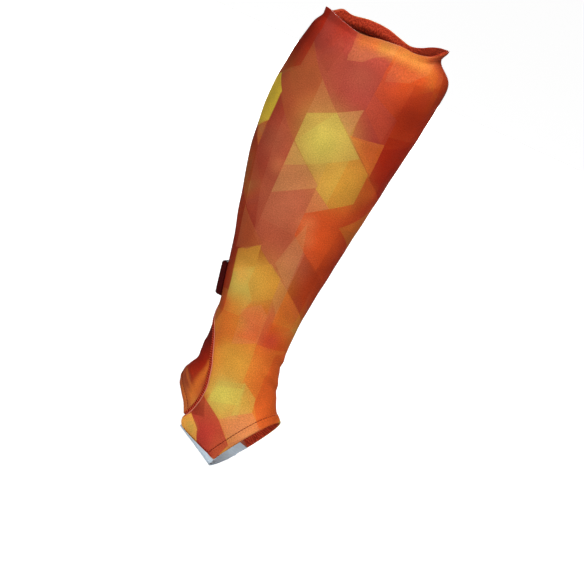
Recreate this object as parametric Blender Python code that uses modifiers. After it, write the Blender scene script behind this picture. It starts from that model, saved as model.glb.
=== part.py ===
"""A shin guard liner: a stretch sleeve for the lower leg, open at the heel, with a stirrup strap.

Metres. +Z runs up the leg, +X points to the toes, and the origin is the middle of the ankle, inside
the sleeve. Every cloth piece lies on one leg form, which is a stack of oval sections. A place on that
form is a station, which counts the rows of the two section tables from the top of the calf down, and
an angle, which is 0 at the shin, 90 on the left and 180 at the back.
"""

import math
from typing import NamedTuple

import bmesh
import bpy
import numpy as np
from mathutils import Matrix

# The worn sleeve, over its outer face
SHOULDER_HEIGHT = 0.316
RIM_RISE = 0.020
CALF_DEPTH = 0.1371
CALF_WIDTH = 0.124
CALF_SETBACK = 0.011
ANKLE_HEIGHT = 0.031
ANKLE_DEPTH = 0.0716
ANKLE_WIDTH = 0.062
INSTEP_REACH = 0.057
INSTEP_DROP = 0.0175
HEEL_REACH = 0.0435
SOLE_REACH = 0.021
SOLE_DROP = 0.079
FOOT_WIDTH = 0.066

# Turned-in top edge
RIM_INSET_SIDE = 0.015
RIM_INSET_ENDS = 0.0175
EAR_FLARE = 0.003

# Cloth, hems and trim
CLOTH = 0.0012
PIECE_GAP = 0.0003
HEM_GAP = 0.0005
SEAM_GAP = 0.0006
SEAM_BEAD = 0.0024
INSTEP_HEM = 0.008
HEEL_HEM = 0.005
STRAP_THICKNESS = 0.0016
STRAP_LAP = 0.007
TAB_HEIGHT = 0.031
TAB_WIDTH = 0.030
TAB_STAND = 0.0038
TAB_LEAN = 12.0
TAB_ABOVE_SEAM = 0.0072
TAB_CHAMFER = 0.003


class LegRow(NamedTuple):
    """One level of the calf: shares of its height, of the step from ankle to calf, and of the setback."""

    height: float
    girth: float
    setback: float


LEG_ROWS = (
    LegRow(height=1.00, girth=0.940, setback=0.02),
    LegRow(height=0.90, girth=0.980, setback=0.48),
    LegRow(height=0.757, girth=0.920, setback=0.90),
    LegRow(height=0.614, girth=0.755, setback=0.95),
    LegRow(height=0.471, girth=0.500, setback=0.73),
    LegRow(height=0.329, girth=0.245, setback=0.45),
    LegRow(height=0.186, girth=0.045, setback=0.18),
)


class FootRow(NamedTuple):
    """One slanting section from the ankle to the foot edge.

    front runs from 0 at the ankle to 1 at the foot edge, back from 0 at the ankle through 1 at the
    heel to 2 under the strap's front edge. The two drops are shares of the way down, and width runs
    from 0 for the ankle's to 1 for the foot's.
    """

    front: float
    front_drop: float
    back: float
    back_drop: float
    width: float


FOOT_ROWS = (
    FootRow(front=0.00, front_drop=0.00, back=0.00, back_drop=0.01, width=0.00),
    FootRow(front=0.07, front_drop=0.19, back=0.00, back_drop=0.15, width=0.40),
    FootRow(front=0.19, front_drop=0.38, back=0.06, back_drop=0.26, width=0.80),
    FootRow(front=0.32, front_drop=0.54, back=0.60, back_drop=0.36, width=0.80),
    FootRow(front=0.44, front_drop=0.66, back=1.00, back_drop=0.48, width=0.50),
    FootRow(front=0.55, front_drop=0.77, back=1.02, back_drop=0.65, width=0.20),
    FootRow(front=0.68, front_drop=0.86, back=1.10, back_drop=0.78, width=0.10),
    FootRow(front=0.80, front_drop=0.91, back=1.30, back_drop=0.86, width=0.30),
    FootRow(front=0.89, front_drop=0.95, back=1.65, back_drop=0.93, width=0.70),
    FootRow(front=1.00, front_drop=1.00, back=2.00, back_drop=1.00, width=1.00),
)
LEG_SQUARENESS = 2.0
FOOT_SQUARENESS = 2.3
LEG_WIDEST = 0.50
FOOT_WIDEST = 0.56
LAST_STATION = len(LEG_ROWS) + len(FOOT_ROWS) - 1


class RimRow(NamedTuple):
    """The top edge at one angle: shares of its rise, of the sides' inset, of the ends' and of the flare."""

    angle: float
    rise: float
    side_inset: float
    end_inset: float
    flare: float


RIM_ROWS = (
    RimRow(angle=0, rise=1.36, side_inset=0.0, end_inset=1.0, flare=1.6),
    RimRow(angle=14, rise=1.42, side_inset=0.1, end_inset=0.9, flare=1.2),
    RimRow(angle=28, rise=1.34, side_inset=0.3, end_inset=0.8, flare=0.7),
    RimRow(angle=43, rise=1.24, side_inset=0.6, end_inset=0.5, flare=0.2),
    RimRow(angle=56, rise=0.92, side_inset=0.9, end_inset=0.2, flare=0.0),
    RimRow(angle=70, rise=0.64, side_inset=1.0, end_inset=0.1, flare=0.0),
    RimRow(angle=95, rise=0.72, side_inset=1.1, end_inset=0.0, flare=0.0),
    RimRow(angle=130, rise=0.93, side_inset=0.9, end_inset=0.0, flare=0.0),
    RimRow(angle=150, rise=0.93, side_inset=0.4, end_inset=0.2, flare=0.0),
    RimRow(angle=167, rise=0.80, side_inset=0.2, end_inset=0.3, flare=0.0),
    RimRow(angle=184, rise=0.83, side_inset=0.0, end_inset=0.3, flare=0.0),
    RimRow(angle=205, rise=0.95, side_inset=0.2, end_inset=0.2, flare=0.0),
    RimRow(angle=240, rise=0.86, side_inset=0.8, end_inset=0.0, flare=0.0),
    RimRow(angle=285, rise=0.90, side_inset=1.0, end_inset=0.0, flare=0.0),
    RimRow(angle=325, rise=0.88, side_inset=0.6, end_inset=0.6, flare=0.0),
    RimRow(angle=346, rise=1.05, side_inset=0.2, end_inset=0.9, flare=0.8),
)
TURN_IN = (0.02, 0.66)
FLARE_OUT = (0.60, 1.00)


class EdgeRow(NamedTuple):
    """A point of a sewn or cut edge: its station, and its angle in degrees round from the back."""

    station: float
    round: float


SEAM_ROWS = (
    EdgeRow(station=6.12, round=0.0),
    EdgeRow(station=6.22, round=10.0),
    EdgeRow(station=6.52, round=27.0),
    EdgeRow(station=7.00, round=50.0),
    EdgeRow(station=8.40, round=71.0),
    EdgeRow(station=10.30, round=86.0),
    EdgeRow(station=11.50, round=87.0),
    EdgeRow(station=12.50, round=77.0),
    EdgeRow(station=13.10, round=65.0),
)
HEEL_RIM_ROWS = (
    EdgeRow(station=10.45, round=0.0),
    EdgeRow(station=10.60, round=14.0),
    EdgeRow(station=11.00, round=31.0),
    EdgeRow(station=11.50, round=47.0),
    EdgeRow(station=12.20, round=60.0),
    EdgeRow(station=13.10, round=58.0),
)
SOLE_EDGE_ROWS = (
    EdgeRow(station=13.10, round=65.0),
    EdgeRow(station=14.05, round=43.0),
    EdgeRow(station=15.00, round=51.0),
    EdgeRow(station=16.00, round=59.0),
)
STRAP_START = 14.05
TAB_SEAT_SPAN = (3.0, 8.0)
HEM_SIDE_GAP = 2.0
HEEL_HEM_END = 0.28
STRAP_LAP_ANGLE = math.degrees(STRAP_LAP / (FOOT_WIDTH / 2))

# Mesh density
ROUND_STEPS = 36
LIP_STEPS = 6
TOP_HEM_STEPS = 3
CALF_STEPS = 17
OPENING_STEPS = 16
SOLE_STEPS = 6
HEEL_STEPS = 8
SEAM_STEPS = 64
HEM_STEPS = 24
BAND_STEPS = 2
EDGE_POINTS = 320
FINE_STEPS = 40
BEAD_RESOLUTION = 2
CHAMFER_SEGMENTS = 2
WELD = 1e-6
STATION_PROBE = 0.02

PRINT_COLOUR = (0.62, 0.16, 0.05, 1.0)
HEEL_COLOUR = (0.38, 0.08, 0.03, 1.0)
SEAM_COLOUR = (0.75, 0.25, 0.12, 1.0)
TRIM_COLOUR = (0.45, 0.07, 0.03, 1.0)
ELASTIC_COLOUR = (0.80, 0.84, 0.88, 1.0)
TAB_COLOUR = (0.11, 0.01, 0.01, 1.0)


def through(knots, values, at):
    """Values of the smooth cubic curve through a table, at any places along its knots."""
    knots, values = np.asarray(knots, float), np.asarray(values, float)
    slopes = np.gradient(values, knots, axis=0)
    at = np.clip(at, knots[0], knots[-1])
    i = np.clip(np.searchsorted(knots, at, side="right") - 1, 0, len(knots) - 2)
    span = (knots[i + 1] - knots[i])[..., None]
    s = (at - knots[i])[..., None] / span
    start = (1 + 2 * s) * (1 - s) ** 2 * values[i] + s * (1 - s) ** 2 * span * slopes[i]
    end = s * s * (3 - 2 * s) * values[i + 1] + s * s * (s - 1) * span * slopes[i + 1]
    return start + end


def smooth_step(value, low, high):
    """0 below low, 1 above high, and an S between them."""
    s = np.clip((value - low) / (high - low), 0, 1)
    return s * s * (3 - 2 * s)


def section_table():
    """One line for each station: the front's and the back's X and Z, the half width, where it is
    widest as a share of the way back, and how square it is."""
    lines = []
    for row in LEG_ROWS:
        depth = ANKLE_DEPTH + (CALF_DEPTH - ANKLE_DEPTH) * row.girth
        width = ANKLE_WIDTH + (CALF_WIDTH - ANKLE_WIDTH) * row.girth
        z = SHOULDER_HEIGHT * row.height
        x = -CALF_SETBACK * row.setback
        lines.append((x + depth / 2, z, x - depth / 2, z, width / 2, LEG_WIDEST, LEG_SQUARENESS))
    for row in FOOT_ROWS:
        front_x = ANKLE_DEPTH / 2 + (INSTEP_REACH - ANKLE_DEPTH / 2) * row.front
        front_z = ANKLE_HEIGHT - (ANKLE_HEIGHT + INSTEP_DROP) * row.front_drop
        back_x = np.interp(row.back, (0, 1, 2), (-ANKLE_DEPTH / 2, -HEEL_REACH, SOLE_REACH))
        back_z = ANKLE_HEIGHT - (ANKLE_HEIGHT + SOLE_DROP) * row.back_drop
        width = ANKLE_WIDTH + (FOOT_WIDTH - ANKLE_WIDTH) * row.width
        foot = row.back_drop
        widest = LEG_WIDEST + (FOOT_WIDEST - LEG_WIDEST) * foot
        square = LEG_SQUARENESS + (FOOT_SQUARENESS - LEG_SQUARENESS) * foot
        lines.append((front_x, front_z, back_x, back_z, width / 2, widest, square))
    return np.array(lines)


def rim_table():
    """The angles round the top edge and its rise, inset and flare there, with both ends overlapping."""
    angles = np.array([row.angle for row in RIM_ROWS], float)
    lines = [
        (
            RIM_RISE * row.rise,
            RIM_INSET_SIDE * row.side_inset + RIM_INSET_ENDS * row.end_inset,
            EAR_FLARE * row.flare,
        )
        for row in RIM_ROWS
    ]
    turns = np.concatenate([angles - 360, angles, angles + 360])
    return turns, np.array(lines * 3)


SECTIONS = section_table()
RIM_ANGLES, RIM_LINES = rim_table()


def on_form(station, angle):
    """Points of the leg form. Stations from -1 to 0 are the lip that turns in above the calf."""
    station, angle = np.broadcast_arrays(np.asarray(station, float), np.asarray(angle, float))
    line = through(np.arange(len(SECTIONS)), SECTIONS, np.maximum(station, 0))
    front, back = line[..., 0:2], line[..., 2:4]
    half, widest, square = line[..., 4], line[..., 5], line[..., 6]
    c, s = np.cos(np.radians(angle)), np.sin(np.radians(angle))
    forward = np.sign(c) * np.abs(c) ** (2 / square)
    sideways = np.sign(s) * np.abs(s) ** (2 / square)
    middle = front + (back - front) * widest[..., None]
    reach = np.where((c >= 0)[..., None], front - middle, middle - back)
    xz = middle + reach * forward[..., None]
    x, y, z = xz[..., 0], half * sideways, xz[..., 1]
    up = np.clip(-station, 0, 1)
    rim = through(RIM_ANGLES, RIM_LINES, np.mod(angle, 360))
    inward = rim[..., 1] * smooth_step(up, *TURN_IN) - rim[..., 2] * smooth_step(up, *FLARE_OUT)
    away = np.hypot(x - middle[..., 0], y)
    x = x - inward * (x - middle[..., 0]) / away
    y = y - inward * y / away
    return np.stack([x, y, z + rim[..., 0] * up], axis=-1)


def slopes(station, angle):
    """The form's two tangents at a place: for one station down, and for one degree round."""
    station = np.clip(station, -1 + STATION_PROBE, LAST_STATION - STATION_PROBE)
    below, above = on_form(station + STATION_PROBE, angle), on_form(station - STATION_PROBE, angle)
    down = (below - above) / (2 * STATION_PROBE)
    across = (on_form(station, angle + 1) - on_form(station, angle - 1)) / 2
    return down, across


def off_form(station, angle, offset):
    """Points at a distance outside the leg form, or inside it where the offset is negative."""
    down, across = slopes(station, angle)
    normal = np.cross(down, across)
    normal /= np.linalg.norm(normal, axis=-1, keepdims=True)
    return on_form(station, angle) + normal * offset


def moved_aside(edge, distance):
    """An edge of (station, angle) points, moved sideways over the cloth by a real distance.

    A positive distance is to the right of the way that the edge runs, seen from outside."""
    points = on_form(edge[:, 0], edge[:, 1])
    down, across = slopes(edge[:, 0], edge[:, 1])
    along = np.gradient(points, axis=0)
    aside = np.cross(along, np.cross(down, across))
    aside *= distance / np.linalg.norm(aside, axis=1, keepdims=True)
    frame = np.stack([down, across], axis=-1)
    change = np.einsum("nij,nj->ni", np.linalg.pinv(frame), aside)
    return edge + change


def whole_edge(rows):
    """Closely spaced (station, angle) points from one side of the back to the other.

    The rows start at the middle of the back. The line starts on the left, at the last row."""
    half = np.array([(row.station, row.round) for row in rows])
    right = np.column_stack([half[:, 0], 180 + half[:, 1]])
    left = np.column_stack([half[:, 0], 180 - half[:, 1]])
    whole = np.concatenate([left[:0:-1], right])
    knots = np.arange(len(whole))
    return through(knots, whole, np.linspace(0, knots[-1], 2 * EDGE_POINTS + 1))


def panel_corners(edge):
    """The points of a whole edge where both panels have corners, so that their sides stay parallel."""
    return edge[:: EDGE_POINTS // OPENING_STEPS]


def sole_reach(station):
    """How many degrees the sleeve reaches round from the shin on each side, below the seam's ends."""
    rows = np.array([(row.station, row.round) for row in SOLE_EDGE_ROWS])
    return 180 - np.interp(station, rows[:, 0], rows[:, 1])


def even_stations(start, end, steps, angle=180.0):
    """Stations that are evenly spaced along the cloth, at one angle and at the shin together."""
    fine = np.linspace(start, end, FINE_STEPS * steps)
    way = sum(
        np.linalg.norm(np.diff(on_form(fine, turn), axis=0), axis=1) for turn in (0.0, angle)
    )
    way = np.concatenate([[0], np.cumsum(way)])
    return np.interp(np.linspace(0, way[-1], steps + 1), way, fine)


def loft(name, points, material, collection):
    """An object whose open surface runs through rows of points, with its faces turned outwards."""
    rows, columns = points.shape[:2]
    index = np.arange(rows * columns).reshape(rows, columns)
    corners = (index[:-1, :-1], index[1:, :-1], index[1:, 1:], index[:-1, 1:])
    faces = np.stack(corners, axis=-1).reshape(-1, 4)
    mesh = bpy.data.meshes.new(name)
    mesh.from_pydata(points.reshape(-1, 3).tolist(), [], faces.tolist())
    shape = bmesh.new()
    shape.from_mesh(mesh)
    bmesh.ops.remove_doubles(shape, verts=shape.verts, dist=WELD)
    shape.to_mesh(mesh)
    shape.free()
    mesh.shade_smooth()
    if material:
        mesh.materials.append(material)
    made = bpy.data.objects.new(name, mesh)
    collection.objects.link(made)
    return made


def give_wall(made, thickness):
    """Thickens an open surface inwards."""
    wall = made.modifiers.new("Wall", "SOLIDIFY")
    wall.thickness = thickness
    wall.offset = -1
    return made


def material(name, colour, roughness):
    """A Principled material."""
    made = bpy.data.materials.new(name)
    made.use_nodes = True
    shader = made.node_tree.nodes["Principled BSDF"]
    shader.inputs["Base Color"].default_value = colour
    shader.inputs["Roughness"].default_value = roughness
    shader.inputs["Metallic"].default_value = 0.0
    made.diffuse_color = colour
    return made


def sleeve_places():
    """Stations and angles over the sleeve, one line for each row from the top edge to the foot edge.

    The rows go right round down to the seam's top, and stop at the seam, then at the sole, below it."""
    seam = panel_corners(moved_aside(whole_edge(SEAM_ROWS), -SEAM_GAP / 2))[OPENING_STEPS:]
    low = np.linspace(seam[-1, 0], LAST_STATION, SOLE_STEPS + 1)[1:]
    lip = np.linspace(-1, 0, LIP_STEPS + 1)[:-1]
    calf = even_stations(0, seam[0, 0], CALF_STEPS)[:-1]
    station = np.concatenate([lip, calf, seam[:, 0], low])
    full = np.full(len(lip) + len(calf), 180.0)
    reach = np.concatenate([full, 360 - seam[:, 1], sole_reach(low)])
    share = np.linspace(-1, 1, ROUND_STEPS + 1)
    return np.stack([np.tile(station[:, None], len(share)), reach[:, None] * share], axis=-1)


def make_shin_sleeve(collection, cloth):
    """The printed sleeve: a closed tube down to the seam's top, and open at the back below it."""
    places = sleeve_places()
    points = on_form(places[..., 0], places[..., 1])
    return give_wall(loft("shin_sleeve", points, cloth, collection), CLOTH)


def heel_panel_places(seam, rim):
    """Stations and angles over the heel panel: across it from seam to seam, and from seam to rim."""
    share = np.linspace(0, 1, HEEL_STEPS + 1)[:, None, None]
    return seam * (1 - share) + rim * share


def make_heel_panel(collection, cloth):
    """The back panel between the two seams, down to the rim of the heel opening."""
    seam = panel_corners(moved_aside(whole_edge(SEAM_ROWS), SEAM_GAP / 2))
    places = heel_panel_places(seam, panel_corners(whole_edge(HEEL_RIM_ROWS)))
    points = on_form(places[..., 0], places[..., 1])
    return give_wall(loft("heel_panel", points, cloth, collection), CLOTH)


def make_panel_seam(collection, thread):
    """The raised seam over the join of the sleeve and the heel panel, from one side to the other."""
    edge = whole_edge(SEAM_ROWS)[:: 2 * EDGE_POINTS // SEAM_STEPS]
    points = off_form(edge[:, 0], edge[:, 1], PIECE_GAP + SEAM_BEAD / 2)
    line = bpy.data.curves.new("panel_seam", "CURVE")
    line.dimensions = "3D"
    line.bevel_depth = SEAM_BEAD / 2
    line.bevel_resolution = BEAD_RESOLUTION
    line.use_fill_caps = True
    line.materials.append(thread)
    run = line.splines.new("POLY")
    run.points.add(len(points) - 1)
    run.points.foreach_set("co", np.column_stack([points, np.ones(len(points))]).ravel())
    made = bpy.data.objects.new("panel_seam", line)
    collection.objects.link(made)
    return made


def make_top_hem(collection, cloth):
    """The cloth turned in at the top edge, inside the sleeve."""
    places = sleeve_places()[: TOP_HEM_STEPS + 1]
    points = off_form(places[..., 0], places[..., 1], -CLOTH - HEM_GAP)
    return give_wall(loft("top_hem", points, cloth, collection), CLOTH)


def inside_band(edge, width):
    """Points of a band just inside the cloth, from an edge to a distance on its left."""
    lines = [moved_aside(edge, -width * share) for share in np.linspace(1, 0, BAND_STEPS + 1)]
    places = np.stack(lines)
    return off_form(places[..., 0], places[..., 1], -CLOTH - HEM_GAP)


def make_instep_hem(collection, cloth):
    """The cloth turned in at the foot edge, inside the sleeve and between the strap's ends."""
    reach = sole_reach(LAST_STATION) - STRAP_LAP_ANGLE - HEM_SIDE_GAP
    angle = np.linspace(-reach, reach, HEM_STEPS + 1)
    edge = np.column_stack([np.full(len(angle), float(LAST_STATION)), angle])
    points = inside_band(edge, INSTEP_HEM)
    return give_wall(loft("instep_hem", points, cloth, collection), CLOTH)


def make_heel_hem(collection, cloth):
    """The cloth turned in round the rim of the heel opening, inside the heel panel."""
    rim = whole_edge(HEEL_RIM_ROWS)
    inset = int(HEEL_HEM_END * EDGE_POINTS)
    place = np.linspace(inset, len(rim) - 1 - inset, HEM_STEPS + 1).astype(int)
    points = inside_band(rim[place], HEEL_HEM)
    return give_wall(loft("heel_hem", points, cloth, collection), CLOTH)


def make_stirrup_strap(collection, elastic):
    """The elastic strap that passes under the arch, with its ends lapped inside the sleeve."""
    station = np.linspace(STRAP_START, LAST_STATION, SOLE_STEPS + 1)
    reach = 180 - sole_reach(station) + STRAP_LAP_ANGLE
    share = np.linspace(-1, 1, HEM_STEPS + 1)
    points = off_form(station[:, None], 180 + reach[:, None] * share, -CLOTH - HEM_GAP)
    return give_wall(loft("stirrup_strap", points, elastic, collection), STRAP_THICKNESS)


def make_tab_seat(helpers):
    """A solid of the calf behind the tab, which shapes the tab's inner face."""
    station = even_stations(*TAB_SEAT_SPAN, CALF_STEPS)
    angle = np.linspace(-180, 180, 2 * ROUND_STEPS + 1)
    points = off_form(station[:, None], angle[None, :], PIECE_GAP)
    made = loft("tab_seat", points, None, helpers)
    shape = bmesh.new()
    shape.from_mesh(made.data)
    bmesh.ops.holes_fill(shape, edges=shape.edges)
    bmesh.ops.recalc_face_normals(shape, faces=shape.faces)
    shape.to_mesh(made.data)
    shape.free()
    made.hide_render = True
    made.display_type = "WIRE"
    return made


def make_back_tab(collection, helpers, webbing):
    """The thick tab behind the calf: flat outside, chamfered, and shaped to the cloth inside."""
    back = on_form(np.linspace(*TAB_SEAT_SPAN, EDGE_POINTS), 180.0)
    seam_top = on_form(SEAM_ROWS[0].station, 180.0)[2]
    middle = seam_top + TAB_ABOVE_SEAM + TAB_HEIGHT / 2
    x = np.interp(-middle, -back[:, 2], back[:, 0])
    bpy.ops.mesh.primitive_cube_add(size=1)
    made = bpy.context.active_object
    made.name = made.data.name = "back_tab"
    for holder in list(made.users_collection):
        holder.objects.unlink(made)
    collection.objects.link(made)
    depth = TAB_STAND + ANKLE_DEPTH / 2
    made.data.transform(Matrix.Diagonal((depth, TAB_WIDTH, TAB_HEIGHT, 1)))
    made.data.transform(Matrix.Translation((depth / 2 - TAB_STAND, 0, 0)))
    made.data.transform(Matrix.Rotation(math.radians(TAB_LEAN), 4, "Y").inverted())
    made.data.transform(Matrix.Translation((x, 0, middle)))
    made.data.materials.append(webbing)
    edges = made.modifiers.new("Edges", "BEVEL")
    edges.width = TAB_CHAMFER
    edges.segments = CHAMFER_SEGMENTS
    seat = made.modifiers.new("Seat", "BOOLEAN")
    seat.operation = "DIFFERENCE"
    seat.solver = "EXACT"
    seat.object = make_tab_seat(helpers)
    return made


def main():
    """Builds the liner into its own collection."""
    for old in list(bpy.data.objects):
        bpy.data.objects.remove(old)
    collection = bpy.data.collections.new("shin_guard_liner")
    helpers = bpy.data.collections.new("helpers")
    bpy.context.scene.collection.children.link(collection)
    bpy.context.scene.collection.children.link(helpers)
    cloth = material("printed cloth", PRINT_COLOUR, 0.7)
    make_shin_sleeve(collection, cloth)
    make_heel_panel(collection, material("heel panel cloth", HEEL_COLOUR, 0.7))
    make_panel_seam(collection, material("seam thread", SEAM_COLOUR, 0.6))
    hem = material("hem cloth", TRIM_COLOUR, 0.7)
    make_top_hem(collection, hem)
    make_instep_hem(collection, hem.copy())
    make_heel_hem(collection, hem.copy())
    make_stirrup_strap(collection, material("white elastic", ELASTIC_COLOUR, 0.6))
    make_back_tab(collection, helpers, material("tab webbing", TAB_COLOUR, 0.6))


main()
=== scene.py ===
"""Looks of a shin guard liner: printed stretch sleeve, heel panel, seams, hems, arch strap and tab.

Metres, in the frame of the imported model: +Z runs up the leg, +X points to the toes, and the origin is
the middle of the ankle. Every cloth piece lies on one leg form, where a place is a station, counted down
the rows of the section tables, and an angle, 0 at the shin, 90 on the left and 180 at the back.
"""

import logging
import math
from collections.abc import Sequence
from dataclasses import dataclass, field
from enum import Enum
from typing import Any, NamedTuple

import bmesh
import bpy
import numpy as np
from mathutils import Matrix, Vector


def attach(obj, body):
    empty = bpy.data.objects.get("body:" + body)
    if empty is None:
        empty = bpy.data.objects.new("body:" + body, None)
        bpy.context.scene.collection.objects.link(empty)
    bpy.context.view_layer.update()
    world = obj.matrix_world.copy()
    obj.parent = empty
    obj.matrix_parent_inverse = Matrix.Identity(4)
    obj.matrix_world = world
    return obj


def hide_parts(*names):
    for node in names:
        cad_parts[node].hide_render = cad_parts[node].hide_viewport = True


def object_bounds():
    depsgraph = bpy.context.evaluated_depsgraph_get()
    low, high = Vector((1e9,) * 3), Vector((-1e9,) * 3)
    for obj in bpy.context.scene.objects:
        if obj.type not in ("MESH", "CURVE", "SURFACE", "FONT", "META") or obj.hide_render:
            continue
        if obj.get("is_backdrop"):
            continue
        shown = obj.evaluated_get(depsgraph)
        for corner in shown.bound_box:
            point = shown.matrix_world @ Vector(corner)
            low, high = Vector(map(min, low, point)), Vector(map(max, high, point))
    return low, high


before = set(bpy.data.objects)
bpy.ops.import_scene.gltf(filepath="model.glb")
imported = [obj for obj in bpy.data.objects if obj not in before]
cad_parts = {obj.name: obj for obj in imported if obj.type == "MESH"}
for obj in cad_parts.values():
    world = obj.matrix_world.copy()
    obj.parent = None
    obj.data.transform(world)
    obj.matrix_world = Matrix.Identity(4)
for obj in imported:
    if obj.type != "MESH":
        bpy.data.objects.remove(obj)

LOG = logging.getLogger("shin_guard_liner")
Array = np.ndarray
Value = Any  # a number, a colour or a node's output


# ---- The leg form ----


class LegRow(NamedTuple):
    """One level of the calf: shares of its height, of the step from ankle to calf, and of the setback."""

    height: float
    girth: float
    setback: float


class FootRow(NamedTuple):
    """One slanting section from the ankle (0) to the foot edge (1), and at the back on to the sole (2)."""

    front: float
    front_drop: float
    back: float
    back_drop: float
    width: float


class RimRow(NamedTuple):
    """The top edge at one angle: shares of its rise, of the sides' inset, of the ends' and of the flare."""

    angle: float
    rise: float
    side_inset: float
    end_inset: float
    flare: float


class EdgeRow(NamedTuple):
    """A point of a sewn or cut edge: its station, and its angle in degrees round from the back."""

    station: float
    round: float


LEG_ROWS = (
    LegRow(1.00, 0.940, 0.02),
    LegRow(0.90, 0.980, 0.48),
    LegRow(0.757, 0.920, 0.90),
    LegRow(0.614, 0.755, 0.95),
    LegRow(0.471, 0.500, 0.73),
    LegRow(0.329, 0.245, 0.45),
    LegRow(0.186, 0.045, 0.18),
)
FOOT_ROWS = (
    FootRow(0.00, 0.00, 0.00, 0.01, 0.00),
    FootRow(0.07, 0.19, 0.00, 0.15, 0.40),
    FootRow(0.19, 0.38, 0.06, 0.26, 0.80),
    FootRow(0.32, 0.54, 0.60, 0.36, 0.80),
    FootRow(0.44, 0.66, 1.00, 0.48, 0.50),
    FootRow(0.55, 0.77, 1.02, 0.65, 0.20),
    FootRow(0.68, 0.86, 1.10, 0.78, 0.10),
    FootRow(0.80, 0.91, 1.30, 0.86, 0.30),
    FootRow(0.89, 0.95, 1.65, 0.93, 0.70),
    FootRow(1.00, 1.00, 2.00, 1.00, 1.00),
)
RIM_ROWS = (
    RimRow(0, 1.36, 0.0, 1.0, 1.6),
    RimRow(14, 1.42, 0.1, 0.9, 1.2),
    RimRow(28, 1.34, 0.3, 0.8, 0.7),
    RimRow(43, 1.24, 0.6, 0.5, 0.2),
    RimRow(56, 1.06, 0.9, 0.2, 0.0),
    RimRow(68, 0.84, 1.0, 0.1, 0.0),
    RimRow(83, 0.65, 1.1, 0.0, 0.0),
    RimRow(97, 0.73, 1.1, 0.0, 0.0),
    RimRow(112, 0.87, 1.0, 0.0, 0.0),
    RimRow(133, 0.90, 0.8, 0.0, 0.0),
    RimRow(150, 0.80, 0.4, 0.2, 0.0),
    RimRow(164, 0.91, 0.2, 0.3, 0.0),
    RimRow(175, 0.73, 0.1, 0.3, 0.0),
    RimRow(187, 0.80, 0.0, 0.3, 0.0),
    RimRow(205, 0.92, 0.2, 0.2, 0.0),
    RimRow(240, 0.80, 0.8, 0.0, 0.0),
    RimRow(260, 0.72, 0.9, 0.0, 0.0),
    RimRow(285, 0.91, 1.0, 0.0, 0.0),
    RimRow(305, 0.97, 0.8, 0.3, 0.0),
    RimRow(325, 0.90, 0.6, 0.6, 0.0),
    RimRow(346, 1.05, 0.2, 0.9, 0.8),
)
SEAM_ROWS = (
    EdgeRow(6.12, 0.0),
    EdgeRow(6.22, 10.0),
    EdgeRow(6.52, 27.0),
    EdgeRow(7.00, 49.0),
    EdgeRow(8.40, 67.5),
    EdgeRow(10.30, 81.5),
    EdgeRow(11.50, 83.5),
    EdgeRow(12.50, 76.5),
    EdgeRow(13.10, 65.0),
)
HEEL_RIM_ROWS = (
    EdgeRow(10.70, 0.0),
    EdgeRow(10.80, 12.0),
    EdgeRow(11.02, 23.0),
    EdgeRow(11.28, 37.0),
    EdgeRow(11.60, 50.0),
    EdgeRow(12.12, 60.5),
    EdgeRow(12.65, 64.0),
    EdgeRow(13.10, 63.6),
)
SOLE_EDGE_ROWS = (
    EdgeRow(13.10, 65.0),
    EdgeRow(14.05, 43.0),
    EdgeRow(15.00, 51.0),
    EdgeRow(16.00, 59.0),
)


def through(knots: Array, values: Array, at: Array) -> Array:
    """Values of the smooth cubic curve through a table (a cubic Hermite with centred slopes).

    Args:
        knots: The table's places, in rising order.
        values: One line of values for each knot.
        at: Any places between the first knot and the last.

    Returns:
        One line of values for each place.
    """
    knots, values = np.asarray(knots, float), np.asarray(values, float)
    slopes = np.gradient(values, knots, axis=0)
    at = np.clip(at, knots[0], knots[-1])
    i = np.clip(np.searchsorted(knots, at, side="right") - 1, 0, len(knots) - 2)
    span = (knots[i + 1] - knots[i])[..., None]
    s = (at - knots[i])[..., None] / span
    start = (1 + 2 * s) * (1 - s) ** 2 * values[i] + s * (1 - s) ** 2 * span * slopes[i]
    end = s * s * (3 - 2 * s) * values[i + 1] + s * s * (s - 1) * span * slopes[i + 1]
    return start + end


def smooth_step(value: Array, low: float, high: float) -> Array:
    """0 below low, 1 above high, and the S curve 3s² - 2s³ between them."""
    s = np.clip((value - low) / (high - low), 0, 1)
    return s * s * (3 - 2 * s)


def unit(vectors: Array) -> Array:
    """The vectors, each scaled to a length of one."""
    return vectors / np.maximum(np.linalg.norm(vectors, axis=-1, keepdims=True), 1e-12)


def bell(distance: Array, width: float) -> Array:
    """A bell curve that is 1 at no distance: e to the power of minus the square of distance / width."""
    return np.exp(-((distance / width) ** 2))


def running(points: Array, axis: int = 0) -> Array:
    """The length of the way from the first point to each, along one axis of a grid of points."""
    way = np.cumsum(np.linalg.norm(np.diff(points, axis=axis), axis=-1), axis=axis)
    return np.concatenate([np.zeros_like(np.take(way, [0], axis=axis)), way], axis=axis)


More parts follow.
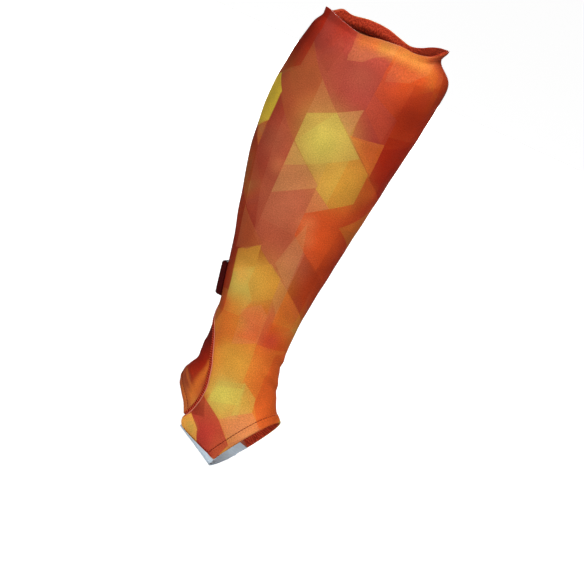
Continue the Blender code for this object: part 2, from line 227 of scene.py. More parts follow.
@dataclass
class LegForm:
    """The worn form that every cloth piece lies on: a stack of oval sections with a turned-in top."""

    shoulder_height: float = 0.316
    rim_rise: float = 0.020
    calf_depth: float = 0.1371
    calf_width: float = 0.124
    calf_setback: float = 0.011
    ankle_height: float = 0.031
    ankle_depth: float = 0.0716
    ankle_width: float = 0.062
    instep_reach: float = 0.057
    instep_drop: float = 0.0175
    heel_reach: float = 0.0435
    sole_reach: float = 0.021
    sole_drop: float = 0.079
    foot_width: float = 0.066
    rim_inset_side: float = 0.015
    rim_inset_ends: float = 0.0175
    ear_flare: float = 0.003
    leg_squareness: float = 2.0
    foot_squareness: float = 2.3
    leg_widest: float = 0.50
    foot_widest: float = 0.56
    turn_in: tuple[float, float] = (0.02, 0.66)
    flare_out: tuple[float, float] = (0.60, 1.00)
    probe: float = 0.02
    facing: float = -70.0
    straightened: tuple[float, float] = (92.0, 140.0)
    last: int = len(LEG_ROWS) + len(FOOT_ROWS) - 1
    table: Array = field(init=False, repr=False)
    rim_angles: Array = field(init=False, repr=False)
    rim_lines: Array = field(init=False, repr=False)
    print_table: Array = field(init=False, repr=False)

    def __post_init__(self) -> None:
        """Works out the tables that places are read from."""
        self.table = self.sections()
        self.rim_angles, self.rim_lines = self.rim()
        self.print_table = self.print_places()

    def sections(self) -> Array:
        """One line a station: the front's and the back's X and Z, half width, widest share and squareness.

        Returns:
            An array of seven columns.
        """
        lines = []
        for row in LEG_ROWS:
            depth = self.ankle_depth + (self.calf_depth - self.ankle_depth) * row.girth
            width = self.ankle_width + (self.calf_width - self.ankle_width) * row.girth
            z, x = self.shoulder_height * row.height, -self.calf_setback * row.setback
            ends = (x + depth / 2, z, x - depth / 2, z)
            lines.append((*ends, width / 2, self.leg_widest, self.leg_squareness))
        half = self.ankle_depth / 2
        for row in FOOT_ROWS:
            front_x = half + (self.instep_reach - half) * row.front
            front_z = self.ankle_height - (self.ankle_height + self.instep_drop) * row.front_drop
            back_x = np.interp(row.back, (0, 1, 2), (-half, -self.heel_reach, self.sole_reach))
            back_z = self.ankle_height - (self.ankle_height + self.sole_drop) * row.back_drop
            width = self.ankle_width + (self.foot_width - self.ankle_width) * row.width
            widest = self.leg_widest + (self.foot_widest - self.leg_widest) * row.back_drop
            square = self.leg_squareness + (self.foot_squareness - self.leg_squareness) * row.back_drop
            lines.append((front_x, front_z, back_x, back_z, width / 2, widest, square))
        return np.array(lines)

    def rim(self) -> tuple[Array, Array]:
        """The angles round the top edge, and its rise, inset and flare there, over three turns.

        Returns:
            The angles, and one line of three lengths for each.
        """
        angles = np.array([row.angle for row in RIM_ROWS], float)
        lines = [
            (
                self.rim_rise * row.rise,
                self.rim_inset_side * row.side_inset + self.rim_inset_ends * row.end_inset,
                self.ear_flare * row.flare,
            )
            for row in RIM_ROWS
        ]
        return np.concatenate([angles - 360, angles, angles + 360]), np.array(lines * 3)

    def place(self, station: Array, angle: Array) -> Array:
        """Points of the form: a superellipse between the section's front and back, moved in at the lip.

        Args:
            station: Rows of the section tables, from -1 at the top edge to 16 at the foot edge.
            angle: Degrees round from the shin.

        Returns:
            Points, in an array with one more axis.
        """
        station, angle = np.broadcast_arrays(np.asarray(station, float), np.asarray(angle, float))
        line = through(np.arange(len(self.table)), self.table, np.maximum(station, 0))
        front, back = line[..., 0:2], line[..., 2:4]
        half, widest, square = line[..., 4], line[..., 5], line[..., 6]
        c, s = np.cos(np.radians(angle)), np.sin(np.radians(angle))
        forward = np.sign(c) * np.abs(c) ** (2 / square)
        sideways = np.sign(s) * np.abs(s) ** (2 / square)
        middle = front + (back - front) * widest[..., None]
        reach = np.where((c >= 0)[..., None], front - middle, middle - back)
        xz = middle + reach * forward[..., None]
        x, y, z = xz[..., 0], half * sideways, xz[..., 1]
        up = np.clip(-station, 0, 1)
        rim = through(self.rim_angles, self.rim_lines, np.mod(angle, 360))
        inward = rim[..., 1] * smooth_step(up, *self.turn_in)
        inward = inward - rim[..., 2] * smooth_step(up, *self.flare_out)
        away = np.maximum(np.hypot(x - middle[..., 0], y), 1e-9)
        x = x - inward * (x - middle[..., 0]) / away
        y = y - inward * y / away
        return np.stack([x, y, z + rim[..., 0] * up], axis=-1)

    def slopes(self, station: Array, angle: Array) -> tuple[Array, Array]:
        """The two tangents at each place, by central differences: a station down and a degree round."""
        step = self.probe
        station = np.clip(station, -1 + step, self.last - step)
        down = (self.place(station + step, angle) - self.place(station - step, angle)) / (2 * step)
        return down, (self.place(station, angle + 1) - self.place(station, angle - 1)) / 2

    def normals(self, station: Array, angle: Array) -> Array:
        """Outward unit normals: the cross product of the two tangents."""
        return unit(np.cross(*self.slopes(station, angle)))

    def raised(self, station: Array, angle: Array, lift: Array) -> Array:
        """Points that stand off the form by a lift, along its normals."""
        return self.place(station, angle) + self.normals(station, angle) * lift[..., None]

    def moved_aside(self, edge: Array, distance: Array | float) -> Array:
        """An edge of (station, angle) points, moved over the cloth to the right of the way it runs.

        Args:
            edge: One (station, angle) line for each point.
            distance: How far, in metres.

        Returns:
            The moved (station, angle) lines.
        """
        points = self.place(edge[:, 0], edge[:, 1])
        down, across = self.slopes(edge[:, 0], edge[:, 1])
        aside = unit(np.cross(np.gradient(points, axis=0), np.cross(down, across)))
        tangents = np.stack([down, across], axis=-1)
        change = np.einsum("nij,nj->ni", np.linalg.pinv(tangents), aside)
        return edge + change * np.broadcast_to(distance, len(edge))[:, None]

    def print_places(self, per_station: int = 16) -> Array:
        """The cloth coordinates of the form on a grid of stations and whole degrees.

        Across is the level arc length from the line that faces the camera's side of the calf, measured
        from that line's own sideways place. More than a quarter turn from that line, the cloth above the
        widest level takes that level's arc length, so its columns run straight up to the rim. The second
        coordinate is the height.

        Returns:
            An array of (rows, 361, 2).
        """
        station = np.linspace(-1, self.last, (self.last + 1) * per_station + 1)
        angle = np.arange(-180, 181)
        points = self.place(station[:, None], angle[None, :])
        arc = running(points[..., :2], axis=1)
        home = int(self.facing) + 180
        turn = math.radians(self.facing + 90)
        sideways = points[:, home, 0] * math.cos(turn) + points[:, home, 1] * math.sin(turn)
        around = arc - arc[:, home : home + 1]
        widest = int(np.argmax(arc[: 4 * per_station, -1]))
        straight = smooth_step(np.abs(angle - self.facing), *self.straightened)
        around[:widest] += (around[widest] - around[:widest]) * straight
        return np.stack([around + sideways[:, None], points[..., 2]], axis=-1)

    def cloth_place(self, station: Array, angle: Array) -> Array:
        """Cloth coordinates at any places: a bilinear reading of the table of print_places.

        Args:
            station: Stations.
            angle: Degrees, from -180 to 180.

        Returns:
            (across, height) in metres, in an array with one more axis.
        """
        station, angle = np.broadcast_arrays(np.asarray(station, float), np.asarray(angle, float))
        rows, columns = self.print_table.shape[:2]
        r = np.clip((station + 1) / (self.last + 1) * (rows - 1), 0, rows - 1.000001)
        c = np.clip(angle + 180, 0, columns - 1.000001)
        i, j = r.astype(int), c.astype(int)
        r, c = (r - i)[..., None], (c - j)[..., None]
        t = self.print_table
        upper = t[i, j] * (1 - c) + t[i, j + 1] * c
        lower = t[i + 1, j] * (1 - c) + t[i + 1, j + 1] * c
        return upper * (1 - r) + lower * r


FORM = LegForm()


def whole_edge(rows: Sequence[EdgeRow], count: int = 641) -> Array:
    """Closely spaced (station, angle) points of an edge that is the same on both sides of the back.

    Args:
        rows: Half of the edge, from the middle of the back.
        count: How many points.

    Returns:
        Points from the left end to the right, with angles that run on past 180.
    """
    half = np.array([(row.station, row.round) for row in rows])
    right = np.column_stack([half[:, 0], 180 + half[:, 1]])
    left = np.column_stack([half[:, 0], 180 - half[:, 1]])
    whole = np.concatenate([left[:0:-1], right])
    knots = np.arange(len(whole))
    return through(knots, whole, np.linspace(0, knots[-1], count))


def level_line(station: float, angles: Array) -> Array:
    """A level line of places: one station at each of these angles."""
    return np.column_stack([np.full(len(angles), station), angles])


def sole_reach(station: Array) -> Array:
    """Degrees from the shin to the sleeve's side edge, below the seam's ends."""
    rows = np.array([(row.station, row.round) for row in SOLE_EDGE_ROWS])
    return 180 - np.interp(station, rows[:, 0], rows[:, 1])


def wrapped(angle: Array) -> Array:
    """Angles brought between -180 and 180."""
    return np.mod(np.asarray(angle) + 180, 360) - 180


class FoldRow(NamedTuple):
    """A soft ridge or groove in the cloth: two ends in cloth coordinates, its lift and its half width."""

    across: float
    height: float
    to_across: float
    to_height: float
    lift: float
    width: float


FOLDS = (
    FoldRow(0.028, 0.043, 0.056, 0.030, 0.0007, 0.0030),
    FoldRow(0.026, 0.036, 0.058, 0.023, -0.0008, 0.0024),
    FoldRow(0.024, 0.025, 0.060, 0.009, 0.0013, 0.0028),
    FoldRow(0.022, 0.019, 0.062, 0.003, -0.0015, 0.0022),
    FoldRow(0.020, 0.010, 0.054, -0.008, 0.0006, 0.0032),
    FoldRow(-0.048, 0.020, -0.090, 0.004, 0.0006, 0.0030),
    FoldRow(-0.046, 0.006, -0.086, -0.010, -0.0008, 0.0028),
    FoldRow(-0.044, -0.006, -0.080, -0.018, 0.0008, 0.0032),
    FoldRow(-0.042, -0.018, -0.072, -0.028, -0.0007, 0.0028),
    FoldRow(-0.050, -0.006, -0.029, -0.013, 0.0006, 0.0016),
    FoldRow(-0.050, -0.010, -0.029, -0.018, -0.0006, 0.0014),
    FoldRow(-0.046, -0.017, -0.028, -0.026, 0.0006, 0.0016),
    FoldRow(0.062, 0.030, 0.092, 0.044, 0.0009, 0.0028),
    FoldRow(0.064, 0.012, 0.096, 0.024, -0.0010, 0.0026),
    FoldRow(0.112, -0.004, 0.138, 0.006, 0.0007, 0.0026),
    FoldRow(0.110, -0.014, 0.134, -0.008, -0.0006, 0.0024),
    FoldRow(0.004, 0.330, 0.030, 0.322, -0.0006, 0.0050),
    FoldRow(-0.084, 0.330, -0.104, 0.306, -0.0009, 0.0050),
    FoldRow(-0.070, 0.332, -0.078, 0.300, 0.0006, 0.0060),
)


def folds(places: Array, rows: Sequence[FoldRow] = FOLDS) -> Array:
    """How far the folds lift the cloth: for each, lift times a bell over the distance to its line.

    Args:
        places: Cloth coordinates.
        rows: The folds.

    Returns:
        A lift for each place, in metres.
    """
    lift = np.zeros(places.shape[:-1])
    for row in rows:
        start, end = np.array(row[0:2]), np.array(row[2:4])
        way = end - start
        share = np.clip(((places - start) @ way) / (way @ way), 0, 1)
        gap = np.linalg.norm(places - start - share[..., None] * way, axis=-1)
        fade = np.sin(np.pi * np.clip(share * 0.86 + 0.07, 0, 1)) ** 0.7
        lift += row.lift * fade * bell(gap, row.width)
    return lift


def slack(places: Array, size: float = 0.00022) -> Array:
    """The faint unevenness of stretched cloth: a sum of three slow waves over the cloth coordinates."""
    across, height = places[..., 0], places[..., 1]
    waves = np.sin(across * 130 + height * 40) + np.sin(height * 96 - across * 70 + 1.3)
    return size * (waves + np.sin(height * 210 + across * 33 + 0.4) * 0.5)


# ---- Meshes ----


def grid_faces(rows: int, columns: int) -> Array:
    """Quads of a grid of points, row by row, that face outwards where rows run down and columns left."""
    index = np.arange(rows * columns).reshape(rows, columns)
    corners = (index[:-1, :-1], index[1:, :-1], index[1:, 1:], index[:-1, 1:])
    return np.stack(corners, axis=-1).reshape(-1, 4)


def make_object(name: str, points: Array, faces: Array, uv: Array | None = None) -> bpy.types.Object:
    """A smooth mesh object from arrays, with doubles merged and an optional UV map.

    Args:
        name: The piece's name.
        points: Its vertices.
        faces: Quads, where a repeated last corner makes a triangle.
        uv: Cloth coordinates, one line for each vertex.

    Returns:
        The object, linked to the scene.
    """
    mesh = bpy.data.meshes.new(name)
    lists = [f[:3] if f[2] == f[3] else f for f in faces.tolist()]
    mesh.from_pydata(points.reshape(-1, 3).tolist(), [], lists)
    if uv is not None:
        layer = mesh.uv_layers.new(name="Cloth")
        corner = np.empty(len(mesh.loops), np.int32)
        mesh.loops.foreach_get("vertex_index", corner)
        layer.data.foreach_set("uv", uv.reshape(-1, 2)[corner].astype(np.float32).ravel())
    shape = bmesh.new()
    shape.from_mesh(mesh)
    bmesh.ops.remove_doubles(shape, verts=shape.verts, dist=1e-6)
    shape.to_mesh(mesh)
    shape.free()
    mesh.shade_smooth()
    made = bpy.data.objects.new(name, mesh)
    bpy.context.scene.collection.objects.link(made)
    return made


def give_wall(made: bpy.types.Object, thickness: float, inner: int = 1) -> None:
    """Thickens an open surface inwards, with its inside in the next material slot.

    Args:
        made: The surface.
        thickness: In metres.
        inner: How many slots on the inside's material is.
    """
    wall = made.modifiers.new("Wall", "SOLIDIFY")
    wall.thickness = thickness
    wall.offset = -1
    wall.material_offset = inner
    wall.use_quality_normals = False


def capped_tubes(
    centres: Array, lifts: Array, sides: Array, radius: Array, around: int = 6, apart: float = 0.0037
) -> tuple[Array, Array, Array]:
    """Many short round tubes in one go: circles about each centre line, closed to a point at both ends.

    Args:
        centres: (tubes, rings, 3) points of the centre lines.
        lifts: Unit vectors at right angles to each line, one way.
        sides: And the other way.
        radius: (tubes, rings) radii.
        around: Points of a circle.
        apart: How much further on each tube's V starts than the one before it.

    Returns:
        Vertices, quads and UVs, with U round the tube and V along it in metres.
    """
    tubes, rings = centres.shape[:2]
    turn = np.linspace(0, 2 * np.pi, around, endpoint=False)
    ring = np.cos(turn)[:, None] * lifts[:, :, None] + np.sin(turn)[:, None] * sides[:, :, None]
    skin = centres[:, :, None] + ring * radius[:, :, None, None]
    skin = skin.reshape(tubes, rings * around, 3)
    ends = np.stack([centres[:, 0], centres[:, -1]], axis=1)
    points = np.concatenate([skin, ends], axis=1)
    each = rings * around + 2
    i = np.arange(rings * around).reshape(rings, around)
    turned = np.roll(i, -1, axis=1)
    quads = np.stack([i[:-1], turned[:-1], turned[1:], i[1:]], axis=-1).reshape(-1, 4)
    low = np.full(around, rings * around)
    first = np.stack([turned[0], i[0], low, low], axis=-1)
    final = np.stack([i[-1], turned[-1], low + 1, low + 1], axis=-1)
    faces = np.concatenate([quads, first, final])
    faces = (faces[None] + (np.arange(tubes) * each)[:, None, None]).reshape(-1, 4)
    along = running(centres, axis=1) + np.arange(tubes)[:, None] * apart
    u = np.broadcast_to(turn / (2 * np.pi), (tubes, rings, around))
    uv = np.stack([u, np.broadcast_to(along[:, :, None], u.shape)], axis=-1)
    uv = uv.reshape(tubes, rings * around, 2)
    tips = np.stack([np.zeros((tubes, 2)), along[:, [0, -1]]], axis=-1)
    return points.reshape(-1, 3), faces, np.concatenate([uv, tips], axis=1).reshape(-1, 2)


@dataclass
class SurfaceLine:
    """A line over the cloth, with the outward way and the right-hand way at each of its points."""

    edge: Array
    lift: float = 0.0

    def __post_init__(self) -> None:
        """Works out the points, the ways and the running length."""
        station, angle = self.edge[:, 0], self.edge[:, 1]
        self.out = FORM.normals(station, angle)
        cloth = FORM.cloth_place(station, wrapped(angle))
        rise = folds(cloth) + slack(cloth) + self.lift
        self.points = FORM.place(station, angle) + self.out * rise[:, None]
        self.right = unit(np.cross(np.gradient(self.points, axis=0), self.out))
        self.way = running(self.points)

    @property
    def length(self) -> float:
        """The line's whole length."""
        return float(self.way[-1])

    def at(self, distance: Array) -> tuple[Array, Array, Array]:
        """Points, outward ways and right-hand ways at any distances, read between the line's points.

        Args:
            distance: Distances along the line, in any shape.

        Returns:
            Three arrays with one more axis.
        """
        flat = np.clip(np.ravel(distance), 0, self.length)
        read = [
            np.stack([np.interp(flat, self.way, table[:, k]) for k in range(3)], axis=-1)
            for table in (self.points, self.out, self.right)
        ]
        shape = np.shape(distance) + (3,)
        return read[0].reshape(shape), unit(read[1]).reshape(shape), unit(read[2]).reshape(shape)


@dataclass
class PlateLine:
    """A rectangle on a flat face, with the same readings as a line over the cloth."""

    centre: Array
    up: Array
    wide: Array
    out: Array
    height: float
    width: float

    @property
    def length(self) -> float:
        """The rectangle's whole way round."""
        return 2 * (self.height + self.width)

    def at(self, distance: Array) -> tuple[Array, Array, Array]:
        """Points, outward ways and right-hand ways at any distances, read between the four corners.

        Args:
            distance: Distances from the first corner, in any shape.

        Returns:
            Three arrays with one more axis.
        """
        h, w = self.height / 2, self.width / 2
        corners = np.array([(h, -w), (h, w), (-h, w), (-h, -w), (h, -w)])
        way = np.cumsum([0, self.width, self.height, self.width, self.height])
        flat = np.ravel(distance)
        rise, aside = (np.interp(flat, way, corners[:, k]) for k in range(2))
        points = self.centre + np.outer(rise, self.up) + np.outer(aside, self.wide)
        side = np.minimum(np.searchsorted(way, flat, side="right") - 1, 3)
        right = np.stack([-self.up, -self.wide, self.up, self.wide])[side]
        shape = np.shape(distance) + (3,)
        return points.reshape(shape), np.broadcast_to(self.out, shape), right.reshape(shape)


@dataclass
class Stitching:
    """A run of equal thread stitches on a surface line, each an arched tube with tapered ends.

    Each stitch runs from (start along, start aside) to (end along, end aside) of its own pitch, and its
    height is the sine of its share, to the power that makes its back flat.
    """

    name: str
    line: SurfaceLine | PlateLine
    pitch: float
    start: tuple[float, float]
    end: tuple[float, float]
    radius: float = 0.00028
    height: float = 0.00035
    sink: float = 0.00015
    crown: float = 0.0
    crown_half: float = 0.001
    rings: int = 6
    around: int = 6

    def build(self) -> bpy.types.Object:
        """Makes all the stitches as one mesh.

        Returns:
            The object.
        """
        first = np.arange(max(2, int(self.line.length / self.pitch))) * self.pitch
        share = np.linspace(0, 1, self.rings)
        along = first[:, None] + self.start[0] + (self.end[0] - self.start[0]) * share
        aside = self.start[1] + (self.end[1] - self.start[1]) * share
        points, out, right = self.line.at(along)
        arch = self.height * np.sin(np.pi * share) ** 0.5 - self.sink
        over = self.crown * np.sqrt(np.clip(1 - (aside / self.crown_half) ** 2, 0, 1))
        centres = points + right * aside[:, None] + out * (arch + over)[:, None]
        way = unit(np.gradient(centres, axis=1))
        side = unit(np.cross(way, out))
        lift = unit(np.cross(side, way))
        taper = self.radius * (0.35 + 0.65 * np.sin(np.pi * (0.08 + 0.84 * share)) ** 0.4)
        radius = np.broadcast_to(taper, centres.shape[:2])
        return make_object(self.name, *capped_tubes(centres, lift, side, radius, self.around))


# ---- Shader graphs ----


class Graph:
    """A node tree with short calls that add a node, set its inputs and give its output."""

    def __init__(self, tree: bpy.types.NodeTree) -> None:
        """Keeps the tree."""
        self.tree = tree

    def put(self, socket: bpy.types.NodeSocket, value: Value) -> None:
        """Links an output into an input, or sets the input's own value."""
        if isinstance(value, bpy.types.NodeSocket):
            self.tree.links.new(value, socket)
        elif value is not None:
            socket.default_value = value

    def add(self, kind: str, values: dict[Any, Value] | None = None, **settings: Any) -> bpy.types.Node:
        """Adds a node.

        Args:
            kind: Its type name, without ShaderNode.
            values: Its inputs, by name or number.
            **settings: Its own settings.

        Returns:
            The node.
        """
        node = self.tree.nodes.new("ShaderNode" + kind)
        for name, value in settings.items():
            setattr(node, name, value)
        for name, value in (values or {}).items():
            self.put(node.inputs[name], value)
        return node

    def math(self, operation: str, *values: Value, clamp: bool = False) -> bpy.types.NodeSocket:
        """The output of a Math node."""
        numbered = dict(enumerate(values))
        return self.add("Math", numbered, operation=operation, use_clamp=clamp).outputs[0]

    def vector(self, operation: str, *values: Value) -> bpy.types.Node:
        """A Vector Math node."""
        return self.add("VectorMath", dict(enumerate(values)), operation=operation)

    def mix(self, factor: Value, a: Value, b: Value) -> bpy.types.NodeSocket:
        """The colour output of a Mix node."""
        return self.add("Mix", {0: factor, 6: a, 7: b}, data_type="RGBA").outputs[2]

    def blend(self, factor: Value, a: Value, b: Value) -> bpy.types.NodeSocket:
        """The number output of a Mix node."""
        return self.add("Mix", {0: factor, 2: a, 3: b}, data_type="FLOAT").outputs[0]

    def span(self, *values: Value, smooth: bool = True) -> bpy.types.NodeSocket:
        """The output of a Map Range node for (value, low, high, to low, to high), with an S curve or none."""
        kind = "SMOOTHSTEP" if smooth else "LINEAR"
        return self.add("MapRange", dict(enumerate(values)), interpolation_type=kind).outputs[0]

    def wave(self, value: Value, pitch: float = 1.0) -> bpy.types.NodeSocket:
        """The sine of a coordinate, once round for each pitch."""
        return self.math("SINE", self.math("MULTIPLY", value, 2 * math.pi / pitch))

    def ramp(self, value: Value, stops: Sequence[tuple[float, Sequence[float]]]) -> bpy.types.NodeSocket:
        """The output of a Color Ramp with these stops."""
        node = self.add("ValToRGB", {0: value})
        bar = node.color_ramp
        for place, _ in stops[2:]:
            bar.elements.new(place)
        for element, (place, colour) in zip(bar.elements, stops):
            element.position = place
            element.color = (*colour, 1.0)
        return node.outputs[0]

    def group(self, tree: bpy.types.NodeTree, values: dict[str, Value]) -> bpy.types.Node:
        """A node that holds one of the shared groups."""
        node = self.add("Group")
        node.node_tree = tree
        for name, value in values.items():
            self.put(node.inputs[name], value)
        return node

    def parts(self, place: Value) -> Any:
        """A place's coordinates, one by one."""
        return self.add("SeparateXYZ", {0: place}).outputs

    def noise(self, place: Value, scale: float, detail: float = 2.0) -> bpy.types.NodeSocket:
        """The number output of a Noise Texture."""
        return self.add("TexNoise", {"Vector": place, "Scale": scale, "Detail": detail}).outputs[0]


SOCKETS = {"vector": "NodeSocketVector", "number": "NodeSocketFloat", "colour": "NodeSocketColor"}


def new_group(
    name: str, takes: dict[str, tuple[str, Any]], gives: dict[str, str]
) -> tuple[Graph, Any, bpy.types.Node]:
    """An empty shader node group.

    Args:
        name: Its name.
        takes: Its inputs, each a kind and a first value.
        gives: The kind of each output.

    Returns:
        Its graph, its inputs as outputs of the input node, and its output node.
    """
    tree = bpy.data.node_groups.new(name, "ShaderNodeTree")
    for label, (kind, value) in takes.items():
        socket = tree.interface.new_socket(label, in_out="INPUT", socket_type=SOCKETS[kind])
        if value is not None:
            socket.default_value = value
    for label, kind in gives.items():
        tree.interface.new_socket(label, in_out="OUTPUT", socket_type=SOCKETS[kind])
    inside = tree.nodes.new("NodeGroupInput")
    return Graph(tree), inside.outputs, tree.nodes.new("NodeGroupOutput")


def shade(red: float, green: float, blue: float) -> tuple[float, float, float]:
    """A colour as the eye reads it on a 0 to 255 scale, as linear light."""
    share = np.array([red, green, blue]) / 255
    line = np.where(share <= 0.04045, share / 12.92, ((share + 0.055) / 1.055) ** 2.4)
    return tuple(float(v) for v in line)


# ---- The print, with some painted highlight and painted shade ----


class Ink(Enum):
    """The colours of the print, also used for some painted highlight and painted shade."""

    MAROON = shade(104, 18, 12)
    RUST = shade(154, 48, 20)
    RED = shade(172, 38, 16)
    CRIMSON = shade(192, 62, 50)
    BRICK = shade(164, 62, 44)
    ROSE = shade(172, 70, 58)
    COPPER = shade(178, 88, 50)
    CLAY = shade(190, 102, 70)
    FLAME = shade(214, 82, 34)
    ORANGE = shade(222, 118, 44)
    PEACH = shade(216, 132, 80)
    TAN = shade(202, 140, 84)
    AMBER = shade(212, 150, 56)
    OLIVE = shade(228, 194, 62)
    YELLOW = shade(208, 184, 84)
    GOLD = shade(252, 176, 78)
    LEMON = shade(214, 198, 86)


class Facet(NamedTuple):
    """A see-through shape, of print, and on the heel some of painted highlight and shade: its ink, how much
    it covers, and its corners, anticlockwise, in mm.
    """

    ink: Ink
    cover: float
    corners: tuple[tuple[float, float], ...]


class Glow(NamedTuple):
    """A soft area, of print, in places of painted highlight and painted shade: its ink, how much it covers,
    its middle and its reach, in mm.
    """

    ink: Ink
    cover: float
    across: float
    height: float
    reach: float


CALF_FACETS = (
    Facet(Ink.RUST, 1.30, ((70, 345), (70, 296), (108, 270), (134, 302), (122, 345))),
    Facet(Ink.RED, 0.80, ((-104, 340), (-104, 262), (-66, 284), (-66, 340))),
    Facet(Ink.ROSE, 0.95, ((-66, 345), (-66, 306), (-13, 264), (8, 276), (12, 345))),
    Facet(Ink.MAROON, 0.18, ((-66, 345), (-66, 306), (-36, 290), (-24, 345))),
    Facet(Ink.PEACH, 0.50, ((-28, 345), (-24, 309), (13, 328), (14, 345))),
    Facet(Ink.FLAME, 0.60, ((12, 345), (8, 276), (38, 250), (90, 262), (90, 345))),
    Facet(Ink.PEACH, 0.40, ((13, 345), (13, 306), (48, 322), (60, 345))),
    Facet(Ink.ROSE, 0.75, ((9, 292), (6, 276), (7, 250), (38, 250), (38, 278))),
    Facet(Ink.RED, 0.45, ((40, 316), (32, 244), (90, 210), (90, 318))),
    Facet(Ink.COPPER, 0.90, ((-66, 308), (-66, 248), (-37, 225), (-13, 264))),
    Facet(Ink.COPPER, 0.85, ((-66, 283), (-95, 268), (-66, 247))),
    Facet(Ink.TAN, 0.45, ((-37, 284), (-37, 252), (-13, 264))),
    Facet(Ink.OLIVE, 1.50, ((-74, 256), (-93, 268), (-116, 256), (-116, 226), (-93, 216), (-74, 228))),
    Facet(Ink.ORANGE, 0.85, ((-75, 228), (-94, 217), (-75, 203))),
    Facet(Ink.BRICK, 0.90, ((-37, 225), (-75, 255), (-75, 203), (-60, 150), (-37, 134))),
    Facet(Ink.CLAY, 0.40, ((-37, 225), (-58, 242), (-50, 175), (-37, 134))),
    Facet(Ink.RUST, 1.10, ((-75, 203), (-112, 228), (-112, 132), (-60, 146))),
    Facet(Ink.ORANGE, 0.75, ((5, 251), (38, 223), (38, 254))),
    Facet(Ink.RED, 0.85, ((38, 262), (38, 222), (90, 182), (90, 262))),
    Facet(Ink.TAN, 0.85, ((-13, 264), (5, 251), (7, 276))),
    Facet(Ink.YELLOW, 0.92, ((-13, 264), (-37, 252), (-37, 226), (-18, 212), (22, 235))),
    Facet(Ink.AMBER, 0.92, ((-2, 221), (-2, 196), (16, 184), (36, 195), (36, 224), (22, 235))),
    Facet(Ink.YELLOW, 0.45, ((-2, 221), (-2, 196), (12, 187), (14, 231))),
    Facet(Ink.TAN, 0.92, ((-37, 225), (-37, 175), (-2, 197), (-2, 200))),
    Facet(Ink.YELLOW, 0.42, ((-37, 225), (-37, 202), (-18, 212))),
    Facet(Ink.YELLOW, 0.60, ((-18, 212), (-2, 200), (-2, 221))),
    Facet(Ink.CLAY, 0.90, ((-37, 175), (-37, 134), (-2, 110), (-2, 197))),
    Facet(Ink.BRICK, 0.35, ((-37, 150), (-37, 134), (-2, 110), (-2, 150))),
    Facet(Ink.PEACH, 0.90, ((-2, 196), (-2, 172), (16, 184))),
    Facet(Ink.FLAME, 0.80, ((36, 222), (36, 170), (90, 166), (90, 190))),
    Facet(Ink.FLAME, 0.92, ((-2, 172), (-2, 150), (30, 124), (36, 170), (36, 195), (16, 184))),
    Facet(Ink.AMBER, 0.45, ((33, 170), (90, 132), (90, 206))),
    Facet(Ink.CLAY, 0.85, ((-2, 150), (-2, 110), (13, 100), (13, 138))),
    Facet(Ink.TAN, 0.55, ((4, 164), (-2, 142), (-7, 119), (12, 101), (11, 138))),
    Facet(Ink.RUST, 0.55, ((13, 138), (13, 99), (56, 66), (56, 108))),
)
SHIN_FACETS = (
    Facet(Ink.RUST, 1.50, ((-84, 166), (-92, 96), (-86, 66), (-41, 74), (-52, 146))),
    Facet(Ink.RUST, 1.05, ((-88, 70), (-80, 52), (-38, 54), (-41, 74))),
    Facet(Ink.RUST, 0.70, ((-80, 52), (-80, 30), (-44, 36), (-38, 54))),
    Facet(Ink.AMBER, 1.10, ((-25, 128), (-49, 112), (-44, 90), (-22, 106))),
    Facet(Ink.COPPER, 1.10, ((-62, 151), (-54, 112), (-38, 117), (-24, 130))),
    Facet(Ink.YELLOW, 0.50, ((-22, 108), (-45, 94), (-37, 56), (-17, 60), (-12, 78))),
    Facet(Ink.AMBER, 0.35, ((-42, 80), (-37, 56), (-17, 60))),
    Facet(Ink.AMBER, 0.92, ((-10, 117), (-22, 107), (-22, 90), (-12, 78), (4, 88), (3, 108))),
    Facet(Ink.TAN, 0.55, ((3, 108), (4, 88), (13, 74), (13, 100))),
    Facet(Ink.ORANGE, 0.80, ((13, 100), (12, 66), (28, 64), (50, 70))),
    Facet(Ink.ORANGE, 0.25, ((-17, 62), (-38, 60), (-31, 18), (-12, 34))),
    Facet(Ink.PEACH, 0.60, ((-3, 79), (-17, 67), (-13, 34), (8, 45), (6, 72))),
    Facet(Ink.FLAME, 0.38, ((4, 60), (-9, 62), (-12, 42), (6, 46))),
    Facet(Ink.CLAY, 0.50, ((4, 88), (8, 44), (13, 44), (13, 74))),
    Facet(Ink.FLAME, 0.50, ((30, 67), (11, 68), (9, 36), (40, 30), (46, 60))),
)
FOOT_FACETS = (
    Facet(Ink.ORANGE, 0.90, ((9, 44), (11, 8), (30, -14), (70, -40), (60, 44))),
    Facet(Ink.FLAME, 0.90, ((30, 40), (28, -6), (42, -26), (75, -40), (60, 44))),
    Facet(Ink.AMBER, 0.30, ((-12, 36), (-31, 20), (-18, -20), (-11, -24))),
    Facet(Ink.AMBER, 0.60, ((8, 45), (-12, 34), (-11, 6), (11, 8))),
    Facet(Ink.YELLOW, 0.60, ((14, 8), (-9, 0), (-12, -22), (5, -32), (20, -24))),
    Facet(Ink.LEMON, 0.80, ((14, 3), (-8, -5), (-12, -22), (16, -13))),
    Facet(Ink.YELLOW, 0.65, ((28, -2), (12, 9), (14, -24), (30, -14))),
    Facet(Ink.PEACH, 0.85, ((30, -14), (14, -24), (5, -32), (24, -46), (44, -24))),
    Facet(Ink.CLAY, 0.65, ((44, -22), (22, -46), (26, -66), (74, -34))),
    Facet(Ink.CRIMSON, 1.30, ((5, -32), (-18, -19), (-24, -42), (-8, -66), (16, -66), (23, -47))),
    Facet(Ink.MAROON, 0.55, ((-15, -19), (-24, -42), (-8, -37))),
    Facet(Ink.GOLD, 1.45, ((-10, -50), (-21, -40), (-34, -58), (-8, -64))),
)
